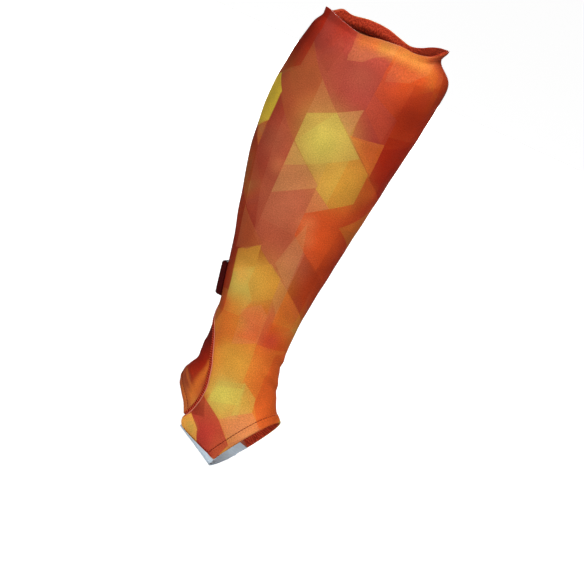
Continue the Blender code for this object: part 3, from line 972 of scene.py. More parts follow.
UNDERTONES = (
    Glow(Ink.BRICK, 0.90, -20, 240, 150),
    Glow(Ink.RUST, 0.90, 0, 120, 110),
    Glow(Ink.ORANGE, 0.90, 0, 0, 110),
    # Painted shade: this maroon glow darkens the top of the calf's back edge.
    Glow(Ink.MAROON, 0.80, -95, 300, 50),
    Glow(Ink.ROSE, 0.95, -6, 302, 62),
    Glow(Ink.COPPER, 0.95, -52, 272, 50),
    Glow(Ink.RED, 0.95, 66, 280, 70),
    Glow(Ink.FLAME, 0.95, 28, 320, 36),
    Glow(Ink.YELLOW, 1.00, -16, 240, 46),
    Glow(Ink.AMBER, 1.00, 18, 206, 40),
    Glow(Ink.RED, 0.95, 66, 226, 46),
    Glow(Ink.BRICK, 0.95, -60, 205, 60),
    Glow(Ink.CLAY, 0.95, -22, 172, 50),
    Glow(Ink.FLAME, 0.95, 24, 156, 46),
    Glow(Ink.FLAME, 0.45, 44, 104, 46),
    Glow(Ink.CLAY, 0.90, 5, 124, 30),
    Glow(Ink.AMBER, 1.00, -14, 100, 42),
    Glow(Ink.YELLOW, 1.00, -30, 86, 34),
    Glow(Ink.ORANGE, 0.95, -22, 52, 40),
    Glow(Ink.FLAME, 0.85, 0, 54, 30),
    Glow(Ink.FLAME, 0.90, 26, 46, 34),
    Glow(Ink.AMBER, 0.95, -3, 20, 34),
    Glow(Ink.YELLOW, 1.00, 0, -10, 32),
    Glow(Ink.AMBER, 0.80, 22, -8, 24),
    Glow(Ink.FLAME, 0.85, 42, 8, 36),
    Glow(Ink.PEACH, 0.90, 26, -32, 26),
    Glow(Ink.CRIMSON, 0.95, -4, -50, 26),
    Glow(Ink.COPPER, 0.95, 255, -10, 90),
    Glow(Ink.RED, 1.00, 244, 8, 56),
    Glow(Ink.RED, 1.00, 262, 6, 40),
    # Painted shade: these two maroon glows darken the top of the heel panel, which faces back.
    Glow(Ink.MAROON, 1.00, 252, 44, 60),
    Glow(Ink.MAROON, 0.70, 236, 16, 30),
    Glow(Ink.ORANGE, 0.60, 270, -30, 18),
)
HEEL_FACETS = (
    Facet(Ink.COPPER, 1.10, ((240, -8), (236, -60), (290, -60), (268, -20), (262, -12))),
    # Painted shade: this maroon shape darkens the top of the heel panel.
    Facet(Ink.MAROON, 0.60, ((250, 12), (244, 60), (230, 60), (230, 0))),
    # Painted highlight and painted shade: these thin orange, maroon and orange strips lay light and dark
    # lines over the heel's creases.
    Facet(Ink.ORANGE, 0.45, ((250, -9), (249, -12), (268, -20), (269, -18))),
    Facet(Ink.MAROON, 0.45, ((252, -13), (252, -16), (271, -25), (272, -22))),
    Facet(Ink.ORANGE, 0.50, ((256, -22), (256, -26), (268, -33), (269, -30))),
)
GLOWS = (
    Glow(Ink.ORANGE, 0.60, 274.6, 8, 5),
    Glow(Ink.ORANGE, 0.70, 275.4, 3, 6),
    Glow(Ink.ORANGE, 0.75, 275.0, -2, 7),
    Glow(Ink.ORANGE, 0.75, 274.0, -7, 7.5),
    Glow(Ink.ORANGE, 0.70, 273.4, -13, 8),
    Glow(Ink.ORANGE, 0.60, 273.0, -19, 9),
    Glow(Ink.ORANGE, 0.45, 272.0, -27, 9),
    # Painted shade: this maroon glow darkens the top of the heel panel.
    Glow(Ink.MAROON, 0.80, 258, 34, 28),
    # Painted shade: this maroon glow darkens the lower leg's back edge.
    Glow(Ink.MAROON, 0.70, -76, 104, 34),
    Glow(Ink.RED, 0.55, -60, 76, 20),
    Glow(Ink.CRIMSON, 0.40, -2, -52, 12),
    Glow(Ink.MAROON, 0.45, -19, -33, 11),
    Glow(Ink.YELLOW, 0.35, -30, 86, 12),
    Glow(Ink.GOLD, 0.52, -32, 94, 17),
    Glow(Ink.ORANGE, 0.35, 48, 207, 15),
    Glow(Ink.PEACH, 0.28, -5, 56, 13),
    Glow(Ink.AMBER, 0.40, -15, 54, 14),
    Glow(Ink.PEACH, 0.32, -41, 199, 14),
    Glow(Ink.TAN, 0.40, -82, 217, 13),
    Glow(Ink.RED, 0.45, -14, -20, 6),
    Glow(Ink.ORANGE, 0.55, -26, 62, 13),
    Glow(Ink.FLAME, 0.60, -38, 62, 12),
    Glow(Ink.CRIMSON, 0.60, 19, 51, 14),
    Glow(Ink.ORANGE, 0.45, -20, 46, 16),
    Glow(Ink.AMBER, 0.40, -15, 26, 16),
    Glow(Ink.YELLOW, 0.45, -17, -52, 11),
    Glow(Ink.LEMON, 0.35, -14, 232, 22),
    Glow(Ink.LEMON, 0.30, -2, -10, 12),
    # Painted highlight: the ORANGE, AMBER and GOLD glows at heights 323 to 330 lay a bright orange band just
    # under the near top edge.
    Glow(Ink.ORANGE, 0.55, -18, 327, 10),
    Glow(Ink.ORANGE, 0.65, -8, 329, 10),
    Glow(Ink.AMBER, 0.60, 1, 329, 10),
    Glow(Ink.GOLD, 0.50, 10, 329, 10),
    Glow(Ink.GOLD, 0.60, 20, 330, 10),
    Glow(Ink.GOLD, 0.60, 30, 329, 10),
    Glow(Ink.GOLD, 0.48, 39, 328, 10),
    Glow(Ink.GOLD, 0.26, 48, 326, 9),
    Glow(Ink.ROSE, 0.40, 17, 311, 14),
    Glow(Ink.ORANGE, 0.40, 55, 323, 9),
    # Painted shade: these RUST and MAROON glows darken the cloth by the front of the top edge, near the ear.
    Glow(Ink.RUST, 0.85, 52, 344, 17),
    Glow(Ink.RUST, 0.95, 66, 338, 18),
    Glow(Ink.MAROON, 0.60, 74, 346, 24),
    Glow(Ink.RUST, 0.65, 86, 314, 34),
    Glow(Ink.RED, 0.35, 80, 280, 40),
    # Painted shade: these three maroon glows darken the cloth along the calf's back edge.
    Glow(Ink.MAROON, 0.50, -112, 204, 38),
    Glow(Ink.MAROON, 0.55, -106, 168, 38),
    Glow(Ink.MAROON, 0.35, -86, 302, 34),
    Glow(Ink.RED, 0.60, -40, 334, 24),
    Glow(Ink.CLAY, 0.50, -56, 216, 28),
    Glow(Ink.MAROON, 0.30, 48, 284, 30),
    Glow(Ink.CLAY, 0.30, -8, 300, 22),
    Glow(Ink.AMBER, 0.40, -24, 70, 14),
    Glow(Ink.PEACH, 0.35, 8, 150, 14),
    Glow(Ink.PEACH, 0.38, 4, 164, 14),
)


@dataclass(frozen=True)
class Mosaic:
    """The print: coarse slanted triangles all round, with see-through shapes and soft glows over them, a few
    of them painted highlight and painted shade.
    """

    width: float = 0.0364
    tall: float = 0.052
    slope: float = 0.58
    layers: tuple[tuple[float, float, float, float], ...] = (
        (1.0, -0.0012, 0.0017, 1.0),
        (0.75, 0.0070, 0.0110, 0.50),
    )
    cover: float = 0.62
    softness: float = 0.00035
    scatter: float = 0.0005
    grain: float = 1300.0
    drift: float = 14.0
    variety: float = 0.7
    inks: tuple[Ink, ...] = (Ink.RED, Ink.BRICK, Ink.FLAME, Ink.CLAY, Ink.ORANGE, Ink.AMBER, Ink.YELLOW)

    def lattice(self) -> bpy.types.NodeTree:
        """The group that finds a place's triangle.

        A place is written in lattice steps a = u / width and b = (v - slope u) / tall. Its triangle is the
        whole parts of a and b, and whether their fractions add up to more than one.

        Returns:
            The group, which gives a chance number for the triangle.
        """
        takes = {
            "Place": ("vector", None),
            "Width": ("number", 0.02),
            "Tall": ("number", 0.03),
            "Across": ("number", 0.0),
            "Up": ("number", 0.0),
        }
        g, take, out = new_group("triangle lattice", takes, {"Chance": "number"})
        parts = g.parts(take["Place"])
        u = g.math("SUBTRACT", parts[0], take["Across"])
        v = g.math("SUBTRACT", parts[1], take["Up"])
        a = g.math("DIVIDE", u, take["Width"])
        b = g.math("DIVIDE", g.math("SUBTRACT", v, g.math("MULTIPLY", u, self.slope)), take["Tall"])
        rest = g.math("ADD", g.math("FRACT", a), g.math("FRACT", b))
        upper = g.math("GREATER_THAN", rest, 1.0)
        name = g.add("CombineXYZ", {0: g.math("FLOOR", a), 1: g.math("FLOOR", b), 2: upper})
        chance = g.add("TexWhiteNoise", {"Vector": name.outputs[0]}, noise_dimensions="3D")
        g.put(out.inputs["Chance"], chance.outputs["Value"])
        return g.tree

    def inside(self, g: Graph, place: Value, corners: Sequence[tuple[float, float]]) -> Value:
        """A mask of a shape: the least distance inwards from its sides, made 0 to 1 over the softness.

        Args:
            g: The graph.
            place: (u, v, 1).
            corners: The shape's corners, anticlockwise, in mm.

        Returns:
            The mask.
        """
        points = np.array(corners) / 1000
        least: Value = None
        for start, end in zip(points, np.roll(points, -1, axis=0)):
            way = (end - start) / np.linalg.norm(end - start)
            line = (-way[1], way[0], way[1] * start[0] - way[0] * start[1])
            depth = g.vector("DOT_PRODUCT", place, line).outputs["Value"]
            least = depth if least is None else g.math("MINIMUM", least, depth)
        return g.span(least, -self.softness, self.softness, smooth=False)

    def glowing(self, g: Graph, place: Value, colour: Value, glows: Sequence[Glow]) -> Value:
        """A colour with soft areas laid over it, each an S curve of the distance from its middle.

        Args:
            g: The graph.
            place: (u, v, 0).
            colour: The colour under them.
            glows: The areas.

        Returns:
            The colour.
        """
        for glow in glows:
            middle = (glow.across / 1000, glow.height / 1000, 0.0)
            gap = g.vector("DISTANCE", place, middle).outputs["Value"]
            mask = g.span(gap, 0.0, glow.reach / 1000, glow.cover, 0.0)
            colour = g.mix(mask, colour, (*glow.ink.value, 1.0))
        return colour

    def build(self) -> bpy.types.NodeTree:
        """The whole print.

        Returns:
            The group, which gives a colour for a place.
        """
        lattice = self.lattice()
        g, take, out = new_group("printed mosaic", {"Place": ("vector", None)}, {"Color": "colour"})
        steps = [(k / (len(self.inks) - 1), ink.value) for k, ink in enumerate(self.inks)]
        slow = g.span(g.noise(take["Place"], self.drift, 0.0), 0.35, 0.65, 0.0, 0.9, smooth=False)
        colour: Value = None
        for scale, across, up, cover in self.layers:
            size = {"Width": self.width * scale, "Tall": self.tall * scale, "Across": across, "Up": up}
            cell = g.group(lattice, {"Place": take["Place"], **size}).outputs["Chance"]
            chance = g.math("SUBTRACT", cell, 0.5)
            tone = g.ramp(g.math("MULTIPLY_ADD", chance, self.variety, slow, clamp=True), steps)
            colour = tone if colour is None else g.mix(cover, colour, tone)
        values = {"Vector": take["Place"], "Scale": self.grain, "Detail": 1.0}
        loose = g.vector("SUBTRACT", g.add("TexNoise", values).outputs["Color"], (0.5, 0.5, 0.5))
        moved = g.vector("SCALE", loose.outputs[0])
        g.put(moved.inputs["Scale"], self.scatter)
        moved = g.vector("ADD", take["Place"], moved.outputs[0]).outputs[0]
        place = g.vector("MULTIPLY_ADD", moved, (1.0, 1.0, 0.0), (0.0, 0.0, 1.0)).outputs[0]
        # Some undertones, heel facets and glows are painted shade and painted highlight laid over the print.
        colour = self.glowing(g, take["Place"], colour, UNDERTONES)
        for facet in CALF_FACETS + SHIN_FACETS + FOOT_FACETS + HEEL_FACETS:
            mask = g.math("MULTIPLY", self.inside(g, place, facet.corners), facet.cover * self.cover)
            colour = g.mix(mask, colour, (*facet.ink.value, 1.0))
        g.put(out.inputs["Color"], self.glowing(g, take["Place"], colour, GLOWS))
        return g.tree


def knit_group() -> bpy.types.NodeTree:
    """The shared jersey knit: V stitches in columns, from the fraction of each row and column.

    Across a column the yarn rises as a cosine, and each row is bent up at both sides of the column, which
    draws the two legs of a V. The slow noise is the unevenness of the yarn.

    Returns:
        The group, which gives a height, 0 to 1, and a painted shade near 1, darker where the knit is low.
    """
    takes = {"Place": ("vector", None), "Pitch": ("number", 0.0007), "Uneven": ("number", 0.3)}
    g, take, out = new_group("jersey knit", takes, {"Height": "number", "Shade": "number"})
    parts = g.parts(take["Place"])
    column = g.math("DIVIDE", parts[0], take["Pitch"])
    row = g.math("DIVIDE", parts[1], g.math("MULTIPLY", take["Pitch"], 0.8))
    off = g.math("ABSOLUTE", g.math("SUBTRACT", g.math("FRACT", column), 0.5))
    bent = g.math("MULTIPLY_ADD", off, 1.1, row)
    legs = g.math("ABSOLUTE", g.math("SUBTRACT", off, 0.25))
    rib = g.math("COSINE", g.math("MULTIPLY", legs, 2 * math.pi))
    loop = g.math("MULTIPLY_ADD", g.wave(bent), 0.35, 0.5)
    grain = g.noise(take["Place"], 900.0, 1.0)
    height = g.blend(take["Uneven"], g.math("MULTIPLY", rib, loop, clamp=True), grain)
    g.put(out.inputs["Height"], height)
    # The shade is painted shade: the colour darkens where the knit's height is low.
    g.put(out.inputs["Shade"], g.math("MULTIPLY_ADD", g.math("SUBTRACT", height, 0.4), 0.22, 1.0))
    return g.tree


def grain_group() -> bpy.types.NodeTree:
    """The shared unevenness of dyed cloth: fine and coarse noise about 1.

    Returns:
        The group, which gives a shade near 1 and a mask from 0 to 1.
    """
    takes = {"Place": ("vector", None), "Fine": ("number", 930.0), "Amount": ("number", 0.27)}
    g, take, out = new_group("cloth grain", takes, {"Shade": "number", "Mask": "number"})
    fine = g.add("TexNoise", {"Vector": take["Place"], "Scale": take["Fine"], "Detail": 2.0}).outputs[0]
    coarse = g.noise(take["Place"], 38.0, 3.0)
    both = g.math("MULTIPLY_ADD", coarse, 0.5, g.math("MULTIPLY", fine, 0.9))
    strength = g.math("MULTIPLY", take["Amount"], 4.0)
    g.put(out.inputs["Shade"], g.math("MULTIPLY_ADD", g.math("SUBTRACT", both, 0.7), strength, 1.0))
    g.put(out.inputs["Mask"], g.span(coarse, 0.35, 0.65))
    return g.tree


def twist_group() -> bpy.types.NodeTree:
    """The shared twist of sewing thread: a wave over U and V that winds once a millimetre.

    Returns:
        The group, which gives a height and a painted shade near 1, darker in the twist's grooves.
    """
    takes = {"Place": ("vector", None), "Turns": ("number", 1400.0)}
    g, take, out = new_group("thread twist", takes, {"Height": "number", "Shade": "number"})
    parts = g.parts(take["Place"])
    wind = g.math("MULTIPLY_ADD", parts[1], take["Turns"], g.math("MULTIPLY", parts[0], 2.0))
    height = g.math("MULTIPLY_ADD", g.wave(wind), 0.5, 0.5)
    g.put(out.inputs["Height"], height)
    # The shade is painted shade: darker in the grooves of the twist.
    g.put(out.inputs["Shade"], g.math("MULTIPLY_ADD", height, 0.3, 0.82))
    return g.tree


@dataclass(frozen=True)
class Groups:
    """The shared shader groups."""

    mosaic: bpy.types.NodeTree
    knit: bpy.types.NodeTree
    grain: bpy.types.NodeTree
    twist: bpy.types.NodeTree


class ClothGraph(Graph):
    """A finish's graph, with the shared groups and the piece's cloth coordinates at hand."""

    def __init__(self, tree: bpy.types.NodeTree, groups: Groups) -> None:
        """Keeps the tree and the groups, and reads the coordinates."""
        super().__init__(tree)
        self.groups = groups
        self.place = self.add("UVMap", uv_map="Cloth").outputs[0]

    def grain(self, **values: float) -> Any:
        """The outputs of the shared grain, with any of its inputs set."""
        return self.group(self.groups.grain, {"Place": self.place, **values}).outputs

    def knit(self, **values: float) -> Any:
        """The outputs of the shared knit, with any of its inputs set."""
        return self.group(self.groups.knit, {"Place": self.place, **values}).outputs


class Look(NamedTuple):
    """What a finish puts over its surface: a colour, a shade to multiply it by, a height and a roughness."""

    colour: Value
    # In most finishes the shade holds painted shade from the cloth's relief, times the grain's uneven dye.
    shade: Value
    height: Value
    rough: Value = None


@dataclass(frozen=True)
class Finish:
    """What every cloth finish has: a name and the numbers that are the same all over it."""

    name: str
    roughness: float = 0.62
    specular: float = 0.04
    sheen: float = 0.004
    sheen_roughness: float = 0.45
    bump: float = 0.00010

    def look(self, g: ClothGraph) -> Look:
        """The finish's own part of its graph."""
        raise NotImplementedError

    def build(self, groups: Groups) -> bpy.types.Material:
        """Makes the material: its even values, its colour times its shade, and its normal from its height.

        Args:
            groups: The shared groups.

        Returns:
            The material.
        """
        made = bpy.data.materials.new(self.name)
        made.use_nodes = True
        shader = made.node_tree.nodes["Principled BSDF"]
        shader.inputs["Roughness"].default_value = self.roughness
        shader.inputs["Specular IOR Level"].default_value = self.specular
        shader.inputs["Sheen Weight"].default_value = self.sheen
        shader.inputs["Sheen Roughness"].default_value = self.sheen_roughness
        g = ClothGraph(made.node_tree, groups)
        look = self.look(g)
        colour = g.vector("SCALE", look.colour)
        g.put(colour.inputs["Scale"], look.shade)
        g.put(shader.inputs["Base Color"], colour.outputs[0])
        g.put(shader.inputs["Roughness"], look.rough)
        bump = g.add("Bump", {"Strength": 1.0, "Distance": self.bump, "Height": look.height})
        g.put(shader.inputs["Normal"], bump.outputs[0])
        return made


@dataclass(frozen=True)
class PrintedKnit(Finish):
    """Stretch jersey with the printed mosaic on its face."""

    shift: float = 0.0
    pitch: float = 0.0007

    def look(self, g: ClothGraph) -> Look:
        """The print, read at the piece's own shift, with the knit's painted shade and uneven dye.

        Args:
            g: The graph.

        Returns:
            The look.
        """
        moved = g.vector("ADD", g.place, (self.shift, 0.0, 0.0)).outputs[0]
        printed = g.group(g.groups.mosaic, {"Place": moved}).outputs[0]
        knit, grain = g.knit(Pitch=self.pitch), g.grain()
        rough = g.math("MULTIPLY_ADD", grain["Mask"], 0.08, self.roughness - 0.04)
        return Look(printed, g.math("MULTIPLY", knit["Shade"], grain["Shade"]), knit["Height"], rough)


@dataclass(frozen=True)
class PlainKnit(Finish):
    """Dyed jersey with fine ribs, uneven and grainy, with painted shade in the rib valleys."""

    light: tuple[float, float, float] = shade(222, 80, 50)
    dark: tuple[float, float, float] = shade(150, 40, 24)
    rib: float = 0.0012

    def look(self, g: ClothGraph) -> Look:
        """Ribs over specks, dark where they are low: random specks, and painted shade in the rib valleys.

        Args:
            g: The graph.

        Returns:
            The look.
        """
        speck = g.span(g.noise(g.place, 620.0, 2.0), 0.36, 0.64, 0.12, 0.88)
        height = g.math("MULTIPLY_ADD", g.wave(g.parts(g.place)[0], self.rib), 0.22, speck)
        # Partly painted shade: low places of the ribs take the dark colour, as do the random specks.
        tone = g.mix(height, (*self.dark, 1.0), (*self.light, 1.0))
        return Look(tone, g.grain(Amount=0.14)["Shade"], height)


@dataclass(frozen=True)
class KnitReverse(Finish):
    """The unprinted inside of the jersey, with a ghost of the print showing through."""

    ghost: float = 0.40
    base: tuple[float, float, float] = shade(190, 112, 90)

    def look(self, g: ClothGraph) -> Look:
        """The ground colour mixed with the print, with the coarser knit's painted shade.

        Args:
            g: The graph.

        Returns:
            The look.
        """
        printed = g.group(g.groups.mosaic, {"Place": g.place}).outputs[0]
        knit = g.knit(Pitch=0.0009, Uneven=0.45)
        return Look(g.mix(self.ghost, (*self.base, 1.0), printed), knit["Shade"], knit["Height"])


@dataclass(frozen=True)
class Thread(Finish):
    """Twisted polyester sewing thread."""

    roughness: float = 0.5
    colour: tuple[float, float, float] = (0.5, 0.1, 0.05)

    def look(self, g: ClothGraph) -> Look:
        """One colour, with painted shade in the twist's grooves, times the grain.

        Args:
            g: The graph.

        Returns:
            The look.
        """
        twist = g.group(g.groups.twist, {"Place": g.place}).outputs
        even = g.math("MULTIPLY", twist["Shade"], g.grain(Fine=150.0)["Shade"])
        return Look(self.colour, even, twist["Height"])


@dataclass(frozen=True)
class Elastic(Finish):
    """Woven white elastic with ribs along it, and painted shade that greys the furrows between them."""

    rib: float = 0.0013
    pick: float = 0.0008
    light: tuple[float, float, float] = shade(232, 246, 255)
    # Painted shade: the grey-blue colour of the furrows between the ribs.
    furrow_shade: tuple[float, float, float] = shade(196, 218, 238)

    def look(self, g: ClothGraph) -> Look:
        """Ribs one way and fine picks the other, with painted shade that darkens the furrows.

        Args:
            g: The graph.

        Returns:
            The look.
        """
        along, across = g.parts(g.place)[:2]
        ribs = g.math("MULTIPLY_ADD", g.wave(across, self.rib), 0.34, 0.5)
        height = g.math("MULTIPLY_ADD", g.wave(along, self.pick), 0.16, ribs)
        # Painted shade: the colour runs from the grey-blue furrow shade in low places to white on the ribs.
        tone = g.mix(height, (*self.furrow_shade, 1.0), (*self.light, 1.0))
        return Look(tone, g.grain(Amount=0.05)["Shade"], height)


@dataclass(frozen=True)
class Webbing(Finish):
    """Dense very dark red webbing, a fine twill of slanted floats; its dark colour is partly painted shade.
    """

    # Very dark red: the tab's cloth darkened to its look in shade, so partly painted shade.
    colour: tuple[float, float, float] = shade(66, 10, 9)
    pitch: float = 0.0012
    slant: float = 0.55

    def look(self, g: ClothGraph) -> Look:
        """Slanted floats with a finer wave across them, with painted shade where they are low, times the
        grain.

        Args:
            g: The graph.

        Returns:
            The look.
        """
        wide, high = g.parts(g.place)[:2]
        floats = g.wave(g.math("MULTIPLY_ADD", wide, self.slant, high), self.pitch)
        cross = g.wave(wide, 0.7 * self.pitch)
        height = g.math("MULTIPLY_ADD", cross, 0.15, g.math("MULTIPLY_ADD", floats, 0.35, 0.5))
        # Painted shade: darker where the floats are low.
        even = g.math("MULTIPLY", g.math("MULTIPLY_ADD", height, 0.35, 0.8), g.grain()["Shade"])
        return Look(self.colour, even, height)


@dataclass
class Wardrobe:
    """Every finish of the liner, made once."""

    groups: Groups = field(init=False)

    def __post_init__(self) -> None:
        """Builds the shared groups and the materials."""
        self.groups = Groups(Mosaic().build(), knit_group(), grain_group(), twist_group())
        g = self.groups
        self.printed = PrintedKnit("printed stretch knit").build(g)
        self.heel = PrintedKnit("heel panel knit", shift=0.3).build(g)
        self.hem = PlainKnit("turned hem knit", bump=0.00025).build(g)
        self.reverse = KnitReverse("knit reverse", roughness=0.8, specular=0.2).build(g)
        self.ridge = PlainKnit("seam welt knit", light=shade(178, 46, 28), dark=shade(112, 18, 14)).build(g)
        self.light_thread = Thread("seam thread", colour=shade(240, 150, 124)).build(g)
        self.red_thread = Thread("overlock thread", colour=shade(226, 96, 56)).build(g)
        self.dark_thread = Thread("hem thread", colour=shade(120, 36, 24)).build(g)
        self.elastic = Elastic("white elastic", roughness=0.6, bump=0.00018).build(g)
        self.webbing = Webbing("tab webbing", roughness=0.6, bump=0.00022).build(g)


# ---- The pieces ----


class Slot(Enum):
    """Names of the record's material slots; nothing in this script uses them."""

    PRINTED = "printed_cloth"
    HEEL = "heel_cloth"
    SEAM = "seam_thread"
    HEM = "hem_cloth"
    ELASTIC = "white_elastic"
    TAB = "tab_webbing"


def fit_out(
    made: bpy.types.Object,
    materials: Sequence[bpy.types.Material],
    nodes: Sequence[str] = (),
) -> bpy.types.Object:
    """Gives a piece its materials and its body, and hides the CAD nodes that it stands for.

    Args:
        made: The piece.
        materials: The materials, outside first.
        nodes: The CAD nodes that it replaces.

    Returns:
        The piece.
    """
    for material in materials:
        made.data.materials.append(material)
    if nodes:
        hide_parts(*nodes)
    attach(made, "root")
    LOG.info("%s: %d faces", made.name, len(made.data.polygons))
    return made


def sew(run: Stitching, thread: bpy.types.Material) -> bpy.types.Object:
    """Makes a run of stitches in a thread."""
    return fit_out(run.build(), [thread])


def even_stations(start: float, end: float, steps: int) -> Array:
    """Stations that are evenly spaced along the cloth, by its way down the shin and the back together."""
    fine = np.linspace(start, end, 40 * steps)
    way = running(FORM.place(fine, 0.0)) + running(FORM.place(fine, 180.0))
    return np.interp(np.linspace(0, way[-1], steps + 1), way, fine)


class Groove(NamedTuple):
    """A bell-shaped dip in a surface: its depth and its half width."""

    depth: float
    width: float

    def at(self, distance: Array) -> Array:
        """How deep it is at distances from its line."""
        return self.depth * bell(distance, self.width)


@dataclass
class StretchedSheet:
    """What each sheet has: its flat sides, its flat area and its wall."""

    flat: tuple[float, float]
    flat_area: float
    wall: float = 0.0012

    def declare(self, made: bpy.types.Object, trim: Sequence[bpy.types.Object]) -> None:
        """Takes the piece and its trim, and does nothing with them."""


@dataclass
class Sleeve(StretchedSheet):
    """The printed sleeve: a closed tube down to the seam's top, open at the back below it."""

    flat: tuple[float, float] = (0.33, 0.44)
    flat_area: float = 0.104
    seam_gap: float = 0.0006
    hem: float = 0.0082
    hem_step: float = 0.00035
    hem_groove: Groove = Groove(0.00045, 0.0009)
    seam_groove: Groove = Groove(0.00070, 0.0022)
    back_groove: Groove = Groove(0.00030, 0.0012)
    fold: float = 0.0012
    shoulder: tuple[float, float] = (-0.12, 0.42)
    softening: int = 14
    lip_rows: int = 26
    calf_rows: int = 72
    open_rows: int = 64
    sole_rows: int = 30
    columns: int = 216

    def places(self) -> Array:
        """Stations and angles of the grid: right round above the seam, and from edge to edge below it.

        Returns:
            An array of (rows, columns, 2).
        """
        count = 20 * self.open_rows + 1
        edge = FORM.moved_aside(whole_edge(SEAM_ROWS, 2 * count - 1), -self.seam_gap / 2)
        right = edge[count - 1 :][:: 20]
        share_down = np.linspace(0, 1, self.sole_rows + 1)[1:]
        low = right[-1, 0] + (FORM.last - right[-1, 0]) * (1 - (1 - share_down) ** 1.6)
        lip = np.linspace(-1, 0, self.lip_rows + 1)[:-1]
        calf = even_stations(0, right[0, 0], self.calf_rows)[:-1]
        station = np.concatenate([lip, calf, right[:, 0], low])
        full = np.full(len(lip) + len(calf), 180.0)
        reach = np.concatenate([full, 360 - right[:, 1], sole_reach(low)])
        share = np.linspace(-1, 1, self.columns + 1)
        return np.stack([np.tile(station[:, None], len(share)), reach[:, None] * share], axis=-1)

    def lift(self, places: Array, cloth: Array) -> Array:
        """How far the cloth stands off the form: folds, slackness, the hem's double layer and the grooves.

        The hem is a step between the foot edge and its stitching, which is a bell-shaped groove. Beside
        the seam, and down the back above it, the cloth dips by a bell over the distance to its edge. At
        the foot edge it turns in by a quarter of a circle.

        Args:
            places: Stations and angles.
            cloth: The cloth coordinates there.

        Returns:
            A lift for each point.
        """
        station, angle = places[..., 0], places[..., 1]
        points = FORM.place(station, angle)
        down, across = running(points), running(points, axis=1)
        to_foot = down[-1:] - down
        to_side = np.minimum(across, across[:, -1:] - across)
        beside_seam = smooth_step(station, 6.1, 6.6) * (1 - smooth_step(station, 12.9, 13.3))
        lift = folds(cloth) + slack(cloth)
        lift += self.hem_step * (1 - smooth_step(to_foot, self.hem - 0.0008, self.hem + 0.0006))
        lift -= self.hem_groove.at(to_foot - self.hem)
        lift -= self.seam_groove.at(to_side) * beside_seam
        lift -= self.back_groove.at(to_side) * (station < 6.1)
        fold = np.clip(1 - to_foot / self.fold, 0, 1)
        return lift - self.fold * (1 - np.sqrt(np.clip(1 - fold**2, 0, 1)))

    def rounded(self, points: Array, station: Array) -> Array:
        """The grid with its shoulder rounder: near station 0, each row moves to its neighbours' mean.

        Args:
            points: The grid.
            station: Each row's station.

        Returns:
            The rounder grid.
        """
        middle, half = self.shoulder
        near = bell(station - middle, half)[1:-1, None, None]
        for _ in range(self.softening):
            mean = (points[:-2] + points[2:]) / 2
            points = np.concatenate([points[:1], points[1:-1] * (1 - near) + mean * near, points[-1:]])
        return points

    def build(self, wardrobe: Wardrobe) -> bpy.types.Object:
        """Makes the sleeve.

        Args:
            wardrobe: The finishes.

        Returns:
            The piece.
        """
        places = self.places()
        station, angle = places[..., 0], places[..., 1]
        cloth = FORM.cloth_place(station, angle)
        points = self.rounded(FORM.raised(station, angle, self.lift(places, cloth)), station[:, 0])
        closed = angle[:, 0] <= -179.999
        points[closed, -1] = points[closed, 0]
        made = make_object("sleeve_cloth", points, grid_faces(*points.shape[:2]), cloth)
        give_wall(made, self.wall)
        return fit_out(made, [wardrobe.printed, wardrobe.reverse], ["shin_sleeve"])


@dataclass
class HeelPanel(StretchedSheet):
    """The back panel between the two seams, from their top to the rim of the heel opening."""

    flat: tuple[float, float] = (0.12, 0.11)
    flat_area: float = 0.0062
    seam_gap: float = 0.0006
    seam_groove: Groove = Groove(0.0007, 0.0020)
    hem: float = 0.0046
    hem_step: float = 0.0003
    hem_groove: Groove = Groove(0.0003, 0.0008)
    columns: int = 150
    rows: int = 44

    def build(self, wardrobe: Wardrobe) -> bpy.types.Object:
        """Makes the panel: a straight blend, in stations and angles, from the seam to the rim.

        Args:
            wardrobe: The finishes.

        Returns:
            The piece.
        """
        count = self.columns * 4 + 1
        seam = FORM.moved_aside(whole_edge(SEAM_ROWS, count), self.seam_gap / 2)[::4]
        rim = whole_edge(HEEL_RIM_ROWS, count)[::4]
        share = np.linspace(0, 1, self.rows + 1)[:, None, None]
        places = seam * (1 - share) + rim * share
        station, angle = places[..., 0], places[..., 1]
        cloth = FORM.cloth_place(station, wrapped(angle))
        from_seam = running(FORM.place(station, angle))
        to_rim = from_seam[-1:] - from_seam
        lift = folds(cloth) + slack(cloth) - self.seam_groove.at(from_seam)
        lift += self.hem_step * (1 - smooth_step(to_rim, self.hem - 0.0008, self.hem + 0.0004))
        lift -= self.hem_groove.at(to_rim - self.hem)
        points = FORM.raised(station, angle, lift)
        made = make_object("heel_cloth", points, grid_faces(*points.shape[:2]), cloth)
        give_wall(made, self.wall)
        return fit_out(made, [wardrobe.heel, wardrobe.reverse], ["heel_panel"])


